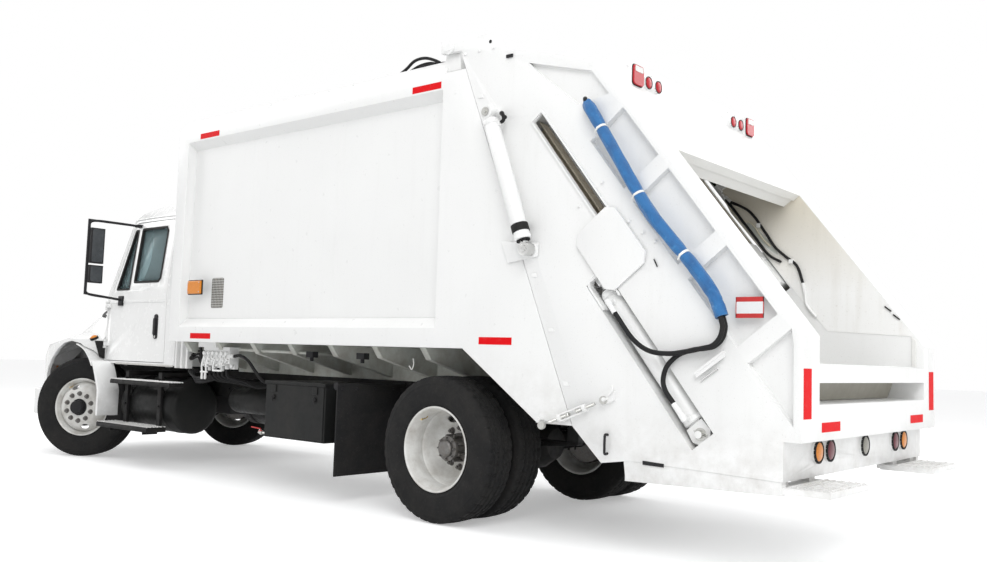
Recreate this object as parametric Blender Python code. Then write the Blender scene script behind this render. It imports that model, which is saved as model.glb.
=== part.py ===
"""A rear-loading garbage truck: conventional cab, single rear axle, packer body and lifting tailgate.

Metres, +Z up. The truck faces -Y and its left side is +X. Everything hangs from an empty over the rear axle,
so y is measured from the rear axle here, rearwards positive, and z from the ground.
"""

import math

import bmesh
import bpy
from mathutils import Matrix, Vector

for old in list(bpy.data.objects):
    bpy.data.objects.remove(old)

# Driving dimensions
WHEELBASE = 5.388
OVERALL_WIDTH = 2.44
FRONT_END = -6.34
REAR_END = 2.84
ROOF_HEIGHT = 3.367
AXLE_HEIGHT = 0.52
TYRE_WIDTH = 0.28
RIM_RADIUS = 0.286
RIM_FLANGE = 0.30
TWIN_SPACING = 0.336
REAR_TWIN_X = 0.897
FRONT_WHEEL_X = 1.03
KINGPIN_X = 0.88
STEER_LEFT = math.radians(31.4)
STEER_RIGHT = math.radians(26.8)

# Clearances
SEAT = 0.0003
RUNNING = 0.0008
PANEL_GAP = 0.006

REAR_AXLE_Y = -(FRONT_END + REAR_END) / 2
FRONT_AXLE_Y = -WHEELBASE
HALF_WIDTH = OVERALL_WIDTH / 2
TYRE_STEPS = 32
# The flat between two of the tyre's corners rests on the ground
TYRE_RADIUS = AXLE_HEIGHT / math.cos(math.pi / TYRE_STEPS)
RIM_STEPS = TYRE_STEPS
PIN_STEPS = 20


# Materials
def material(name, colour, roughness, metallic=0.0):
    made = bpy.data.materials.new(name)
    made.use_nodes = True
    shader = made.node_tree.nodes["Principled BSDF"]
    shader.inputs["Base Color"].default_value = (*colour, 1.0)
    shader.inputs["Roughness"].default_value = roughness
    shader.inputs["Metallic"].default_value = metallic
    return made


WHITE = material("white_paint", (0.80, 0.82, 0.83), 0.35)
BLACK = material("chassis_black", (0.03, 0.032, 0.034), 0.55)
RUBBER = material("tyre_rubber", (0.028, 0.028, 0.03), 0.85)
RIM_WHITE = material("rim_white", (0.78, 0.78, 0.76), 0.4)
STEEL = material("bare_steel", (0.45, 0.45, 0.44), 0.35, 0.9)
GLASS = material("cab_glass", (0.05, 0.07, 0.08), 0.05)
SEAT_CLOTH = material("seat_vinyl", (0.10, 0.10, 0.11), 0.8)
DASH = material("dash_plastic", (0.12, 0.12, 0.13), 0.6)
WRAP_BLUE = material("hose_wrap_blue", (0.02, 0.14, 0.42), 0.6)
HOSE_BLACK = material("hose_black", (0.03, 0.03, 0.032), 0.6)
UNDER_WHITE = material("underside_white", (0.62, 0.64, 0.60), 0.5)


# Empties that place the moving bodies
def empty(name, place, parent=None, turn_z=0.0):
    made = bpy.data.objects.new(name, None)
    bpy.context.collection.objects.link(made)
    made.parent = parent
    made.location = place
    made.rotation_euler = (0.0, 0.0, turn_z)
    return made


TRUCK = empty("truck", (0.0, REAR_AXLE_Y, 0.0))
scratch = []


# Shapes: each returns a temporary object that weld() joins or cuts
def temporary(mesh):
    made = bpy.data.objects.new("shape", mesh)
    bpy.context.collection.objects.link(made)
    scratch.append(made)
    return made


def outward(bm):
    bmesh.ops.recalc_face_normals(bm, faces=bm.faces)
    mesh = bpy.data.meshes.new("shape")
    bm.to_mesh(mesh)
    bm.free()
    return temporary(mesh)


def prism(axis, low, high, outline):
    """An outline drawn in the two other axes, in x, y, z order, and drawn out along axis."""
    index = "xyz".index(axis)
    bm = bmesh.new()
    rings = []
    for level in (low, high):
        ring = []
        for pair in outline:
            point = list(pair)
            point.insert(index, level)
            ring.append(bm.verts.new(point))
        rings.append(ring)
    bm.faces.new(rings[0])
    bm.faces.new(list(reversed(rings[1])))
    for here in range(len(outline)):
        there = (here + 1) % len(outline)
        bm.faces.new((rings[0][here], rings[0][there], rings[1][there], rings[1][here]))
    return outward(bm)


def box(x0, x1, y0, y1, z0, z1):
    return prism("x", x0, x1, [(y0, z0), (y1, z0), (y1, z1), (y0, z1)])


def turned(profile, centre, along=(1.0, 0.0, 0.0), steps=PIN_STEPS):
    """A closed profile of (radius, distance along the axis) turned about the axis through centre."""
    turn = Vector((0.0, 0.0, 1.0)).rotation_difference(Vector(along)).to_matrix()
    bm = bmesh.new()
    rings = []
    for radius, reach in profile:
        if radius == 0.0:
            rings.append([bm.verts.new(Vector(centre) + turn @ Vector((0.0, 0.0, reach)))])
            continue
        ring = []
        for step in range(steps):
            angle = 2 * math.pi * (step + 0.5) / steps
            spoke = Vector((radius * math.cos(angle), radius * math.sin(angle), reach))
            ring.append(bm.verts.new(Vector(centre) + turn @ spoke))
        rings.append(ring)
    closed = profile[0][0] != 0.0
    for here in range(len(rings) if closed else len(rings) - 1):
        first, second = rings[here], rings[(here + 1) % len(rings)]
        for step in range(steps):
            after = (step + 1) % steps
            if len(first) == 1:
                bm.faces.new((first[0], second[step], second[after]))
            elif len(second) == 1:
                bm.faces.new((first[step], first[after], second[0]))
            else:
                bm.faces.new((first[step], first[after], second[after], second[step]))
    return outward(bm)


def rod(start, end, radius, steps=PIN_STEPS):
    way = Vector(end) - Vector(start)
    return turned([(0.0, 0.0), (radius, 0.0), (radius, way.length), (0.0, way.length)], start, way, steps)


def loft(axis, sections):
    """Closed outlines of equal length at rising levels along axis, bridged and capped."""
    index = "xyz".index(axis)
    bm = bmesh.new()
    rings = []
    for level, outline in sections:
        ring = []
        for pair in outline:
            point = list(pair)
            point.insert(index, level)
            ring.append(bm.verts.new(point))
        rings.append(ring)
    for first, second in zip(rings, rings[1:]):
        for here in range(len(first)):
            there = (here + 1) % len(first)
            bm.faces.new((first[here], first[there], second[there], second[here]))
    bm.faces.new(rings[0])
    bm.faces.new(list(reversed(rings[-1])))
    bmesh.ops.triangulate(bm, faces=bm.faces)
    return outward(bm)


def mirror_x(shapes):
    """Copies of temporary shapes on the other side of the truck."""
    made = []
    for shape in shapes:
        mesh = shape.data.copy()
        mesh.transform(Matrix.Diagonal((-1.0, 1.0, 1.0, 1.0)))
        mesh.flip_normals()
        made.append(temporary(mesh))
    return made


def both(*shapes):
    return [*shapes, *mirror_x(shapes)]


def gather(shapes, label):
    held = bpy.data.collections.new(label)
    bpy.context.scene.collection.children.link(held)
    for shape in shapes:
        held.objects.link(shape)
    return held


def weld(name, paint, adds, cuts=(), keeps=(), parent=TRUCK, pivot=(0.0, 0.0, 0.0)):
    """Joins shapes, cuts others from them, keeps what lies in the last ones, and names the result.

    The shapes are in the parent chain's own frame; pivot is the parent's place in that frame.
    """
    base = bpy.data.objects.new(name, adds[0].data.copy())
    bpy.context.collection.objects.link(base)
    steps = (("UNION", list(adds[1:])), ("DIFFERENCE", list(cuts)), ("INTERSECT", list(keeps)))
    held = []
    for operation, shapes in steps:
        if not shapes:
            continue
        cutter = base.modifiers.new(operation.lower(), "BOOLEAN")
        cutter.operation = operation
        cutter.solver = "EXACT"
        if len(shapes) == 1:
            cutter.object = shapes[0]
        else:
            group = gather(shapes, f"{name}_{operation.lower()}")
            cutter.operand_type = "COLLECTION"
            cutter.collection = group
            held.append(group)
    bpy.context.view_layer.update()
    shaped = bpy.data.meshes.new_from_object(base.evaluated_get(bpy.context.evaluated_depsgraph_get()))
    base.modifiers.clear()
    base.data = shaped
    for group in held:
        bpy.data.collections.remove(group)
    shaped.transform(Matrix.Translation(-Vector(pivot)))
    shaped.materials.clear()
    shaped.materials.append(paint)
    base.parent = parent
    return base


def clear_scratch():
    while scratch:
        bpy.data.objects.remove(scratch.pop())


# Wheels: built about their own centre, outboard +X, and turned round for the right-hand side
def tyre_profile():
    half = TYRE_WIDTH / 2
    inner = RIM_RADIUS + SEAT
    return [
        (inner, -half + 0.035), (RIM_FLANGE + 0.03, -half + 0.008), (TYRE_RADIUS - 0.10, -half),
        (TYRE_RADIUS - 0.03, -half + 0.012), (TYRE_RADIUS, -half + 0.045),
        (TYRE_RADIUS, half - 0.045), (TYRE_RADIUS - 0.03, half - 0.012), (TYRE_RADIUS - 0.10, half),
        (RIM_FLANGE + 0.03, half - 0.008), (inner, half - 0.035),
    ]


def tyre(name, parent, x=0.0):
    shape = turned(tyre_profile(), (x, 0.0, 0.0), steps=TYRE_STEPS)
    return weld(name, RUBBER, [shape], parent=parent)


RIM_HALF = TYRE_WIDTH / 2 - 0.037
DISC_OFFSET = TWIN_SPACING / 2
HUB_BORE = 0.045
SPINDLE_RADIUS = HUB_BORE - RUNNING


def disc_wheel(x, side):
    """One rim: the barrel's ring and its cone-shaped disc, as a single turned section."""
    face = side * DISC_OFFSET
    back = side * (DISC_OFFSET - 0.012)
    profile = [
        (RIM_RADIUS, -RIM_HALF), (RIM_RADIUS, RIM_HALF), (RIM_RADIUS - 0.012, RIM_HALF),
    ]
    if side > 0:
        profile += [
            (RIM_RADIUS - 0.012, 0.05), (0.205, face - 0.03), (0.165, face), (0.07, face),
            (0.07, back), (0.16, back), (0.20, back - 0.035), (RIM_RADIUS - 0.016, 0.03),
            (RIM_RADIUS - 0.012, -RIM_HALF),
        ]
    else:
        profile += [
            (RIM_RADIUS - 0.016, -0.03), (0.20, back + 0.035), (0.16, back), (0.07, back),
            (0.07, face), (0.165, face), (0.205, face + 0.03), (RIM_RADIUS - 0.012, -0.05),
            (RIM_RADIUS - 0.012, -RIM_HALF),
        ]
    return turned(profile, (x, 0.0, 0.0), steps=RIM_STEPS)


HAND_HOLE_TURN = math.radians(18)


def hand_holes(x, radius, size):
    """Cutters for the two round holes in a disc, opposite each other, along the wheel's axis."""
    made = []
    for angle in (math.pi / 2 + HAND_HOLE_TURN, -math.pi / 2 + HAND_HOLE_TURN):
        y, z = radius * math.cos(angle), radius * math.sin(angle)
        made.append(rod((x - 0.07, y, z), (x + 0.07, y, z), size, 10))
    return made


def front_rim(name, parent):
    face = DISC_OFFSET
    body = [
        (HUB_BORE, -0.05), (0.10, -0.05), (0.10, face + 0.004), (0.085, face + 0.008),
        (0.082, face + 0.05), (0.0, face + 0.055), (0.0, face - 0.02), (HUB_BORE, face - 0.02),
    ]
    return weld(name, RIM_WHITE, [disc_wheel(0.0, 1), turned_open(body)],
                cuts=hand_holes(DISC_OFFSET, 0.207, 0.028), parent=parent)


def turned_open(profile, x=0.0, steps=PIN_STEPS):
    """A profile that starts off the axis, touches it twice and closes on its first point."""
    bm = bmesh.new()
    rings = []
    for radius, reach in profile:
        count = 1 if radius == 0.0 else steps
        ring = []
        for step in range(count):
            angle = 2 * math.pi * (step + 0.5) / steps
            ring.append(bm.verts.new((x + reach, radius * math.cos(angle), radius * math.sin(angle))))
        rings.append(ring)
    for here in range(len(rings)):
        first, second = rings[here], rings[(here + 1) % len(rings)]
        if len(first) == 1 and len(second) == 1:
            continue
        for step in range(steps):
            after = (step + 1) % steps
            if len(first) == 1:
                bm.faces.new((first[0], second[step], second[after]))
            elif len(second) == 1:
                bm.faces.new((first[step], first[after], second[0]))
            else:
                bm.faces.new((first[step], first[after], second[after], second[step]))
    return outward(bm)


def rear_rim(name, parent):
    """Both discs back to back on one hub with its brake drum, centred on the disc plane."""
    outer = disc_wheel(TWIN_SPACING / 2, -1)
    inner = disc_wheel(-TWIN_SPACING / 2 + 0.0006, 1)
    body = [
        (HUB_BORE, -0.20), (0.13, -0.20), (0.205, -0.19), (0.205, -0.09), (0.12, -0.08), (0.12, 0.03),
        (0.10, 0.06), (0.095, 0.13), (0.0, 0.135), (0.0, 0.05), (HUB_BORE, 0.05),
    ]
    holes = hand_holes(0.0, 0.2, 0.030)
    return weld(name, RIM_WHITE, [outer, inner, turned_open(body)], cuts=holes, parent=parent)


def front_wheels():
    for side, label, steer in ((1, "left", STEER_LEFT), (-1, "right", STEER_RIGHT)):
        kingpin = empty(f"kingpin_{label}", (side * KINGPIN_X, FRONT_AXLE_Y, AXLE_HEIGHT), TRUCK, steer)
        face_out = 0.0 if side > 0 else math.pi
        carrier = empty(f"carrier_{label}", (0.0, 0.0, 0.0), kingpin, face_out)
        centre = empty(f"wheel_{label}", (FRONT_WHEEL_X - KINGPIN_X, 0.0, 0.0), carrier)
        tyre(f"tyre_front_{label}", centre)
        front_rim(f"rim_front_{label}", centre)
        knuckle(f"knuckle_{label}", carrier)
        clear_scratch()


KINGPIN_RADIUS = 0.025
BOSS_HEIGHT = 0.13
KNUCKLE_EAR = 0.03


def knuckle(name, parent):
    """Two ears above and below the axle's boss, the kingpin through it, and the wheel's spindle."""
    out = FRONT_WHEEL_X - KINGPIN_X
    low = BOSS_HEIGHT / 2 + SEAT
    high = low + KNUCKLE_EAR
    shapes = [
        rod((0, 0, -high), (0, 0, high), KINGPIN_RADIUS),
        box(-0.045, 0.085, -0.045, 0.045, low, high),
        box(-0.045, 0.085, -0.045, 0.045, -high, -low),
        box(0.060, 0.085, -0.045, 0.045, -high, high),
        rod((0.07, 0, 0), (out + DISC_OFFSET - 0.03, 0, 0), SPINDLE_RADIUS),
    ]
    return weld(name, BLACK, shapes, parent=parent)


def rear_wheels():
    for side, label in ((1, "left"), (-1, "right")):
        centre = empty(f"rear_wheel_{label}", (side * REAR_TWIN_X, 0.0, AXLE_HEIGHT), TRUCK,
                       0.0 if side > 0 else math.pi)
        tyre(f"tyre_rear_{label}_outer", centre, TWIN_SPACING / 2)
        tyre(f"tyre_rear_{label}_inner", centre, -TWIN_SPACING / 2)
        rear_rim(f"rim_rear_{label}", centre)
        clear_scratch()


# Chassis
RAIL_OUT = 0.43
RAIL_IN = 0.34
RAIL_LOW = 0.70
RAIL_HIGH = 0.96
RAIL_FRONT = -6.10
RAIL_REAR = 1.04
BUMPER_HIGH = 0.68
BUMPER_LOW = 0.40
BUMPER_DEPTH = 0.12
SPRING_X = 0.385


def channel(x_out, x_in, y0, y1, z0, z1, wall=0.012):
    """A C-section rail with its web on the x_out side."""
    web = x_out - math.copysign(wall, x_out)
    outline = [
        (x_out, z0), (x_in, z0), (x_in, z0 + wall), (web, z0 + wall),
        (web, z1 - wall), (x_in, z1 - wall), (x_in, z1), (x_out, z1),
    ]
    return prism("y", y0, y1, outline)


def frame_rails():
    shapes = both(channel(RAIL_OUT, RAIL_IN, RAIL_FRONT, RAIL_REAR, RAIL_LOW, RAIL_HIGH))
    for y in (-6.04, -3.60, -2.45, -0.75, 0.98):
        half = RAIL_OUT - 0.005
        shapes.append(box(-half, half, y - 0.04, y + 0.04, RAIL_LOW + 0.03, RAIL_HIGH - 0.03))
    horn = box(RAIL_IN, RAIL_OUT, FRONT_END + BUMPER_DEPTH + SEAT, RAIL_FRONT + 0.05, 0.46, RAIL_HIGH - 0.02)
    pin_y, pin_z = HOOD_PIVOT[1:]
    lug = box(RAIL_IN + 0.01, RAIL_OUT - 0.002, pin_y - 0.015, pin_y + 0.05, pin_z - 0.016, pin_z + 0.016)
    shapes += both(horn, lug)
    pin_hole = rod((RAIL_IN + 0.03, pin_y, pin_z), (RAIL_OUT + 0.05, pin_y, pin_z), HOOD_PIN + RUNNING)
    for y, reach in ((FRONT_AXLE_Y, 0.62), (0.0, 0.66)):
        for end in (-reach, reach):
            middle = y + end
            shapes += both(box(RAIL_IN + 0.004, RAIL_OUT - 0.004, middle - 0.05, middle + 0.05,
                               0.585, RAIL_LOW + 0.05))
    return weld("frame_rails", BLACK, shapes, cuts=both(pin_hole))


def front_bumper():
    outer = [
        (-HALF_WIDTH + 0.04, FRONT_END + 0.32), (-HALF_WIDTH + 0.04, FRONT_END + 0.14),
        (-HALF_WIDTH + 0.18, FRONT_END), (HALF_WIDTH - 0.18, FRONT_END),
        (HALF_WIDTH - 0.04, FRONT_END + 0.14), (HALF_WIDTH - 0.04, FRONT_END + 0.32),
        (HALF_WIDTH - 0.08, FRONT_END + 0.32), (HALF_WIDTH - 0.08, FRONT_END + 0.17),
        (HALF_WIDTH - 0.22, FRONT_END + BUMPER_DEPTH), (-HALF_WIDTH + 0.22, FRONT_END + BUMPER_DEPTH),
        (-HALF_WIDTH + 0.08, FRONT_END + 0.17), (-HALF_WIDTH + 0.08, FRONT_END + 0.32),
    ]
    return weld("front_bumper", WHITE, [prism("z", BUMPER_LOW, BUMPER_HIGH, outer)])


def leaf_pack(x, y, reach, mid, end):
    """A leaf spring seen from the side: thick at the axle, thin at its eyes."""
    outline = [
        (y - reach, end), (y - 0.12, mid - 0.045), (y + 0.12, mid - 0.045), (y + reach, end),
        (y + reach, end + 0.02), (y + 0.12, mid + 0.03), (y - 0.12, mid + 0.03), (y - reach, end + 0.02),
    ]
    return prism("x", x - 0.036, x + 0.036, outline)


def front_axle():
    y = FRONT_AXLE_Y
    z = AXLE_HEIGHT
    half = BOSS_HEIGHT / 2
    boss = rod((KINGPIN_X, y, z - half), (KINGPIN_X, y, z + half), 0.042)
    arm = prism("y", y - 0.04, y + 0.04, [
        (0.80, z - 0.052), (KINGPIN_X - 0.01, z - 0.05), (KINGPIN_X - 0.01, z + 0.05), (0.62, z - 0.05),
        (-0.62, z - 0.05), (-KINGPIN_X + 0.01, z + 0.05), (-KINGPIN_X + 0.01, z - 0.05), (-0.80, z - 0.052),
        (-0.60, z - 0.16), (0.60, z - 0.16),
    ])
    springs = leaf_pack(SPRING_X, y, 0.66, z - 0.03, 0.565 - SEAT)
    pin = rod((KINGPIN_X, y, z - 0.2), (KINGPIN_X, y, z + 0.2), KINGPIN_RADIUS + RUNNING)
    return weld("front_axle", BLACK, [arm, *both(boss, springs)], cuts=both(pin))


AXLE_SHOULDER = 0.62


def rear_axle():
    z = AXLE_HEIGHT
    tube = rod((-AXLE_SHOULDER, 0, z), (AXLE_SHOULDER, 0, z), 0.075)
    spindle = rod((-REAR_TWIN_X - 0.03, 0, z), (REAR_TWIN_X + 0.03, 0, z), SPINDLE_RADIUS)
    bowl = turned([(0.0, -0.20), (0.13, -0.19), (0.20, -0.10), (0.20, 0.06), (0.12, 0.18), (0.0, 0.19)],
                  (0.0, 0.02, z), (0.0, 1.0, 0.0), 16)
    shaft = rod((0.0, -0.12, z + 0.02), (0.0, DRIVE_SHAFT_FRONT, 0.62), 0.045, 12)
    springs = leaf_pack(SPRING_X, 0.0, 0.70, z + 0.034, 0.565 - SEAT)
    return weld("rear_axle", BLACK, [tube, spindle, bowl, shaft, *both(springs)])


ENGINE_FRONT = -5.86
ENGINE_REAR = -4.72
GEARBOX_REAR = -3.86
DRIVE_SHAFT_FRONT = GEARBOX_REAR - 0.02


def engine_block():
    engine = box(-0.32, 0.32, ENGINE_FRONT, ENGINE_REAR, RAIL_HIGH + SEAT, 1.36)
    sump = box(-0.20, 0.20, ENGINE_FRONT + 0.15, ENGINE_REAR, 0.60, RAIL_HIGH + 0.05)
    gearbox = box(-0.20, 0.20, ENGINE_REAR - 0.05, GEARBOX_REAR, 0.50, 0.93)
    socket = rod((0.0, GEARBOX_REAR - 0.06, 0.62), (0.0, GEARBOX_REAR + 0.05, 0.62), 0.062)
    feet = box(-RAIL_OUT + 0.01, RAIL_OUT - 0.01, -5.62, -5.46, RAIL_HIGH + SEAT, 1.03)
    return weld("engine_block", BLACK, [engine, sump, gearbox, feet], cuts=[socket])


def fuel_tanks():
    made = []
    for side, label in ((1, "left"), (-1, "right")):
        profile = [(0.0, 0.0), (0.22, 0.0), (0.27, 0.03), (0.27, 0.95), (0.22, 0.98), (0.0, 0.98)]
        barrel = turned(profile, (side * 0.725, -4.68, 0.60), (0.0, 1.0, 0.0), 24)
        bracket = box(*sorted((side * (RAIL_OUT + SEAT), side * 0.62)), -4.36, -4.26, 0.62, 0.90)
        other = box(*sorted((side * (RAIL_OUT + SEAT), side * 0.62)), -4.06, -3.96, 0.62, 0.90)
        made.append(weld(f"fuel_tank_{label}", BLACK, [barrel, bracket, other]))
    return made


def tool_box():
    shell = box(0.55, HALF_WIDTH - 0.04, -1.98, -1.21, 0.46, 0.93)
    arm = box(RAIL_OUT + SEAT, 0.56, -1.80, -1.40, 0.72, 0.90)
    return weld("tool_box", BLACK, [shell, arm])


def cab_steps():
    for side, label in ((1, "left"), (-1, "right")):
        parts = [
            box(0.99, 1.15, -4.62, -3.52, 0.80, 0.835),
            box(0.99, 1.20, -4.75, -3.79, 0.355, 0.395),
        ]
        for y in (-4.50, -3.88):
            parts.append(box(0.998, 1.03, y - 0.03, y + 0.03, 0.36, 0.93))
            parts.append(box(RAIL_OUT + SEAT, 1.03, y - 0.03, y + 0.03, 0.885, 0.93))
        if side < 0:
            parts = mirror_x(parts)
        weld(f"steps_{label}", BLACK, parts)


def mud_flaps():
    for side, label in ((1, "left"), (-1, "right")):
        parts = [
            box(0.52, HALF_WIDTH - 0.02, -1.060, -1.045, 0.22, 0.93),
            rod((RAIL_OUT + SEAT, -1.08, 0.92), (HALF_WIDTH - 0.05, -1.08, 0.92), 0.022, 10),
        ]
        if side < 0:
            parts = mirror_x(parts)
        weld(f"mudflap_front_{label}", RUBBER, parts)


# Cab
CAB_FRONT = -4.98
CAB_REAR = -3.65
CAB_FLOOR = 1.0
CAB_WALL = 0.055
BELT_HEIGHT = 1.75
CAB_HALF = 1.03
CAB_ROOF_HALF = CAB_HALF - 0.10
SCREEN_HALF = CAB_HALF - 0.17
SCREEN_TOP = 2.44
COWL_HEIGHT = BELT_HEIGHT - 0.05
DOOR_FRONT = -4.955
DOOR_REAR = -3.84
DOOR_LOW = 1.03
DOOR_GAP = PANEL_GAP


def cab_section(inset):
    """The cab's side outline, drawn in by inset."""
    i = inset
    return [
        (CAB_FRONT + i, CAB_FLOOR + i), (CAB_REAR - i, CAB_FLOOR + i), (CAB_REAR - i, 2.50 - i),
        (CAB_REAR - 0.08 - i, 2.60 - i), (-4.30, 2.64 - i), (-4.60 + i * 0.6, 2.58 - i),
        (-4.68 + i, 2.50 - i), (CAB_FRONT + i, COWL_HEIGHT),
    ]


def cab_hull(inset):
    """Side outline drawn across, its sides trimmed to the upright lower half and the leaning upper half."""
    half = CAB_HALF - inset
    roof_half = CAB_ROOF_HALF - inset
    hull = prism("x", -half, half, cab_section(inset))
    lean = prism("y", CAB_FRONT - 1, CAB_REAR + 1, [
        (-half, 0.5), (half, 0.5), (half, BELT_HEIGHT), (roof_half + 0.01, 2.50),
        (roof_half - 0.10, 2.66), (-roof_half + 0.10, 2.66), (-roof_half - 0.01, 2.50), (-half, BELT_HEIGHT),
    ])
    return hull, lean


# Columns: height of each door hinge
DOOR_HINGES = (1.20, 1.60)
HINGE_X = CAB_HALF + 0.015
HINGE_Y = DOOR_FRONT - 0.015
HINGE_PIN = 0.008

DOOR_OUTLINE = [
    (DOOR_FRONT, DOOR_LOW), (DOOR_REAR, DOOR_LOW), (DOOR_REAR - 0.02, 2.40), (DOOR_REAR - 0.09, 2.47),
    (-4.60, 2.47), (-4.67, 2.41), (-4.885, BELT_HEIGHT - 0.01), (DOOR_FRONT, BELT_HEIGHT - 0.13),
]
WINDOW_LOW = BELT_HEIGHT + 0.08
WINDOW_OUTLINE = [
    (-4.50, WINDOW_LOW), (-4.03, WINDOW_LOW), (-3.99, WINDOW_LOW + 0.04), (-3.99, 2.36), (-4.03, 2.41),
    (-4.50, 2.41),
]
QUARTER_LOW = BELT_HEIGHT + 0.01
QUARTER_OUTLINE = [(-4.82, QUARTER_LOW), (-4.56, QUARTER_LOW), (-4.56, 2.40), (-4.625, 2.40)]
PANE_LOW = BELT_HEIGHT - 0.005
PANE_OUTLINE = [(-4.835, PANE_LOW), (-3.975, PANE_LOW), (-3.975, 2.425), (-4.635, 2.425)]


def grown(outline, by):
    """The outline moved outwards by a distance on every side."""
    points = [Vector(point) for point in outline]
    area = sum(a.x * b.y - b.x * a.y for a, b in zip(points, points[1:] + points[:1]))
    turn = 1.0 if area > 0 else -1.0
    made = []
    for here, point in enumerate(points):
        before = (point - points[here - 1]).normalized()
        after = (points[(here + 1) % len(points)] - point).normalized()
        first = Vector((before.y, -before.x)) * turn
        second = Vector((after.y, -after.x)) * turn
        way = (first + second).normalized()
        made.append(tuple(point + way * (by / max(0.3, way.dot(first)))))
    return made


def side_space(inset):
    """The room between the cab's two sides at some depth below their skins, endless in the other ways."""
    half = CAB_HALF - inset
    top = CAB_ROOF_HALF + 0.01 - inset - 0.03
    return prism("y", CAB_FRONT - 1, CAB_REAR + 1, [
        (-half, 0.5), (half, 0.5), (half, BELT_HEIGHT), (top, 2.75), (-top, 2.75), (-half, BELT_HEIGHT)])


# The panel behind the steered wheel. Columns: height, then its ring of (distance out from the cab's side, y)
WHEEL_GUARD = [
    (0.46, [(0.160, -4.800), (0.160, -4.765), (-0.060, -4.755), (-0.060, -4.785)]),
    (0.72, [(0.160, -4.800), (0.160, -4.765), (-0.060, -4.755), (-0.060, -4.785)]),
    (0.93, [(0.160, -4.900), (0.160, -4.865), (-0.030, -4.800), (-0.030, -4.830)]),
    (1.02, [(0.155, -4.962), (0.150, -4.930), (-0.030, -4.860), (-0.030, -4.890)]),
]


def cab():
    hull, lean = cab_hull(0.0)
    inner, inner_lean = cab_hull(CAB_WALL)
    core = weld("core", WHITE, [inner], keeps=[inner_lean])
    scratch.append(core)
    core.parent = None
    side_core = side_space(CAB_WALL)
    doorways = []
    for side in (1, -1):
        slab = prism("x", *sorted((side * 0.6, side * 1.3)), grown(DOOR_OUTLINE, DOOR_GAP))
        doorway = weld("doorway", WHITE, [slab], cuts=[side_space(CAB_WALL + 0.02)])
        scratch.append(doorway)
        doorway.parent = None
        doorways.append(doorway)
    screen_low = COWL_HEIGHT + 0.06
    windshield = prism("x", -SCREEN_HALF, SCREEN_HALF, [
        (CAB_FRONT - 0.2, screen_low), (-4.80, screen_low), (-4.55, SCREEN_TOP), (-5.0, SCREEN_TOP)])
    back_low, back_high = BELT_HEIGHT + 0.05, 2.25
    rear_window = box(-0.55, 0.55, CAB_REAR - 0.12, CAB_REAR + 0.12, back_low, back_high)
    solid = weld("solid", WHITE, [hull], keeps=[lean])
    scratch.append(solid)
    solid.parent = None
    tunnel = box(-0.40, 0.40, CAB_FRONT - 0.1, ENGINE_REAR + 0.06, 0.9, 1.48)
    cover = box(-0.43, 0.43, CAB_FRONT + 0.02, ENGINE_REAR + 0.09, CAB_FLOOR + 0.02, 1.51)
    shell = weld("shell", WHITE, [solid], cuts=[core, *doorways, windshield, rear_window])
    scratch.append(shell)
    shell.parent = None
    guard = loft("z", [(z, [(CAB_HALF + out, y) for out, y in ring]) for z, ring in WHEEL_GUARD])
    mounts = both(box(0.35, 0.42, -3.95, -3.85, RAIL_HIGH + SEAT, CAB_FLOOR + 0.02),
                  box(0.35, 0.42, -4.80, -4.70, RAIL_HIGH + SEAT, CAB_FLOOR + 0.02))
    hinges = []
    for z in DOOR_HINGES:
        hinges.append(rod((HINGE_X, HINGE_Y, z - 0.044), (HINGE_X, HINGE_Y, z + 0.044), HINGE_PIN, 12))
        for low, high in ((z - 0.046, z - 0.022), (z + 0.022, z + 0.046)):
            hinges.append(box(CAB_HALF - 0.012, HINGE_X + 0.012, HINGE_Y - 0.012, HINGE_Y + 0.009, low, high))
    weld("cab_shell", WHITE, [shell, cover, *mounts, *both(guard, *hinges)], cuts=[tunnel])
    for side, label in ((1, "left"), (-1, "right")):
        door(side, label, solid, side_core)
    clear_scratch()
    slope = (2.50 - COWL_HEIGHT) / (-4.68 - CAB_FRONT)
    sheet = []
    for z, depth in ((screen_low + SEAT, 0.0265), (screen_low + SEAT, 0.0335),
                     (SCREEN_TOP - SEAT, 0.0335), (SCREEN_TOP - SEAT, 0.0265)):
        sheet.append((CAB_FRONT + (z - COWL_HEIGHT) / slope + depth, z))
    weld("windshield", GLASS, [prism("x", -SCREEN_HALF + SEAT, SCREEN_HALF - SEAT, sheet)])
    weld("rear_window", GLASS, [box(-0.55 + SEAT, 0.55 - SEAT, CAB_REAR - 0.03, CAB_REAR - 0.024,
                                    back_low + SEAT, back_high - SEAT)])
    clear_scratch()


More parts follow.
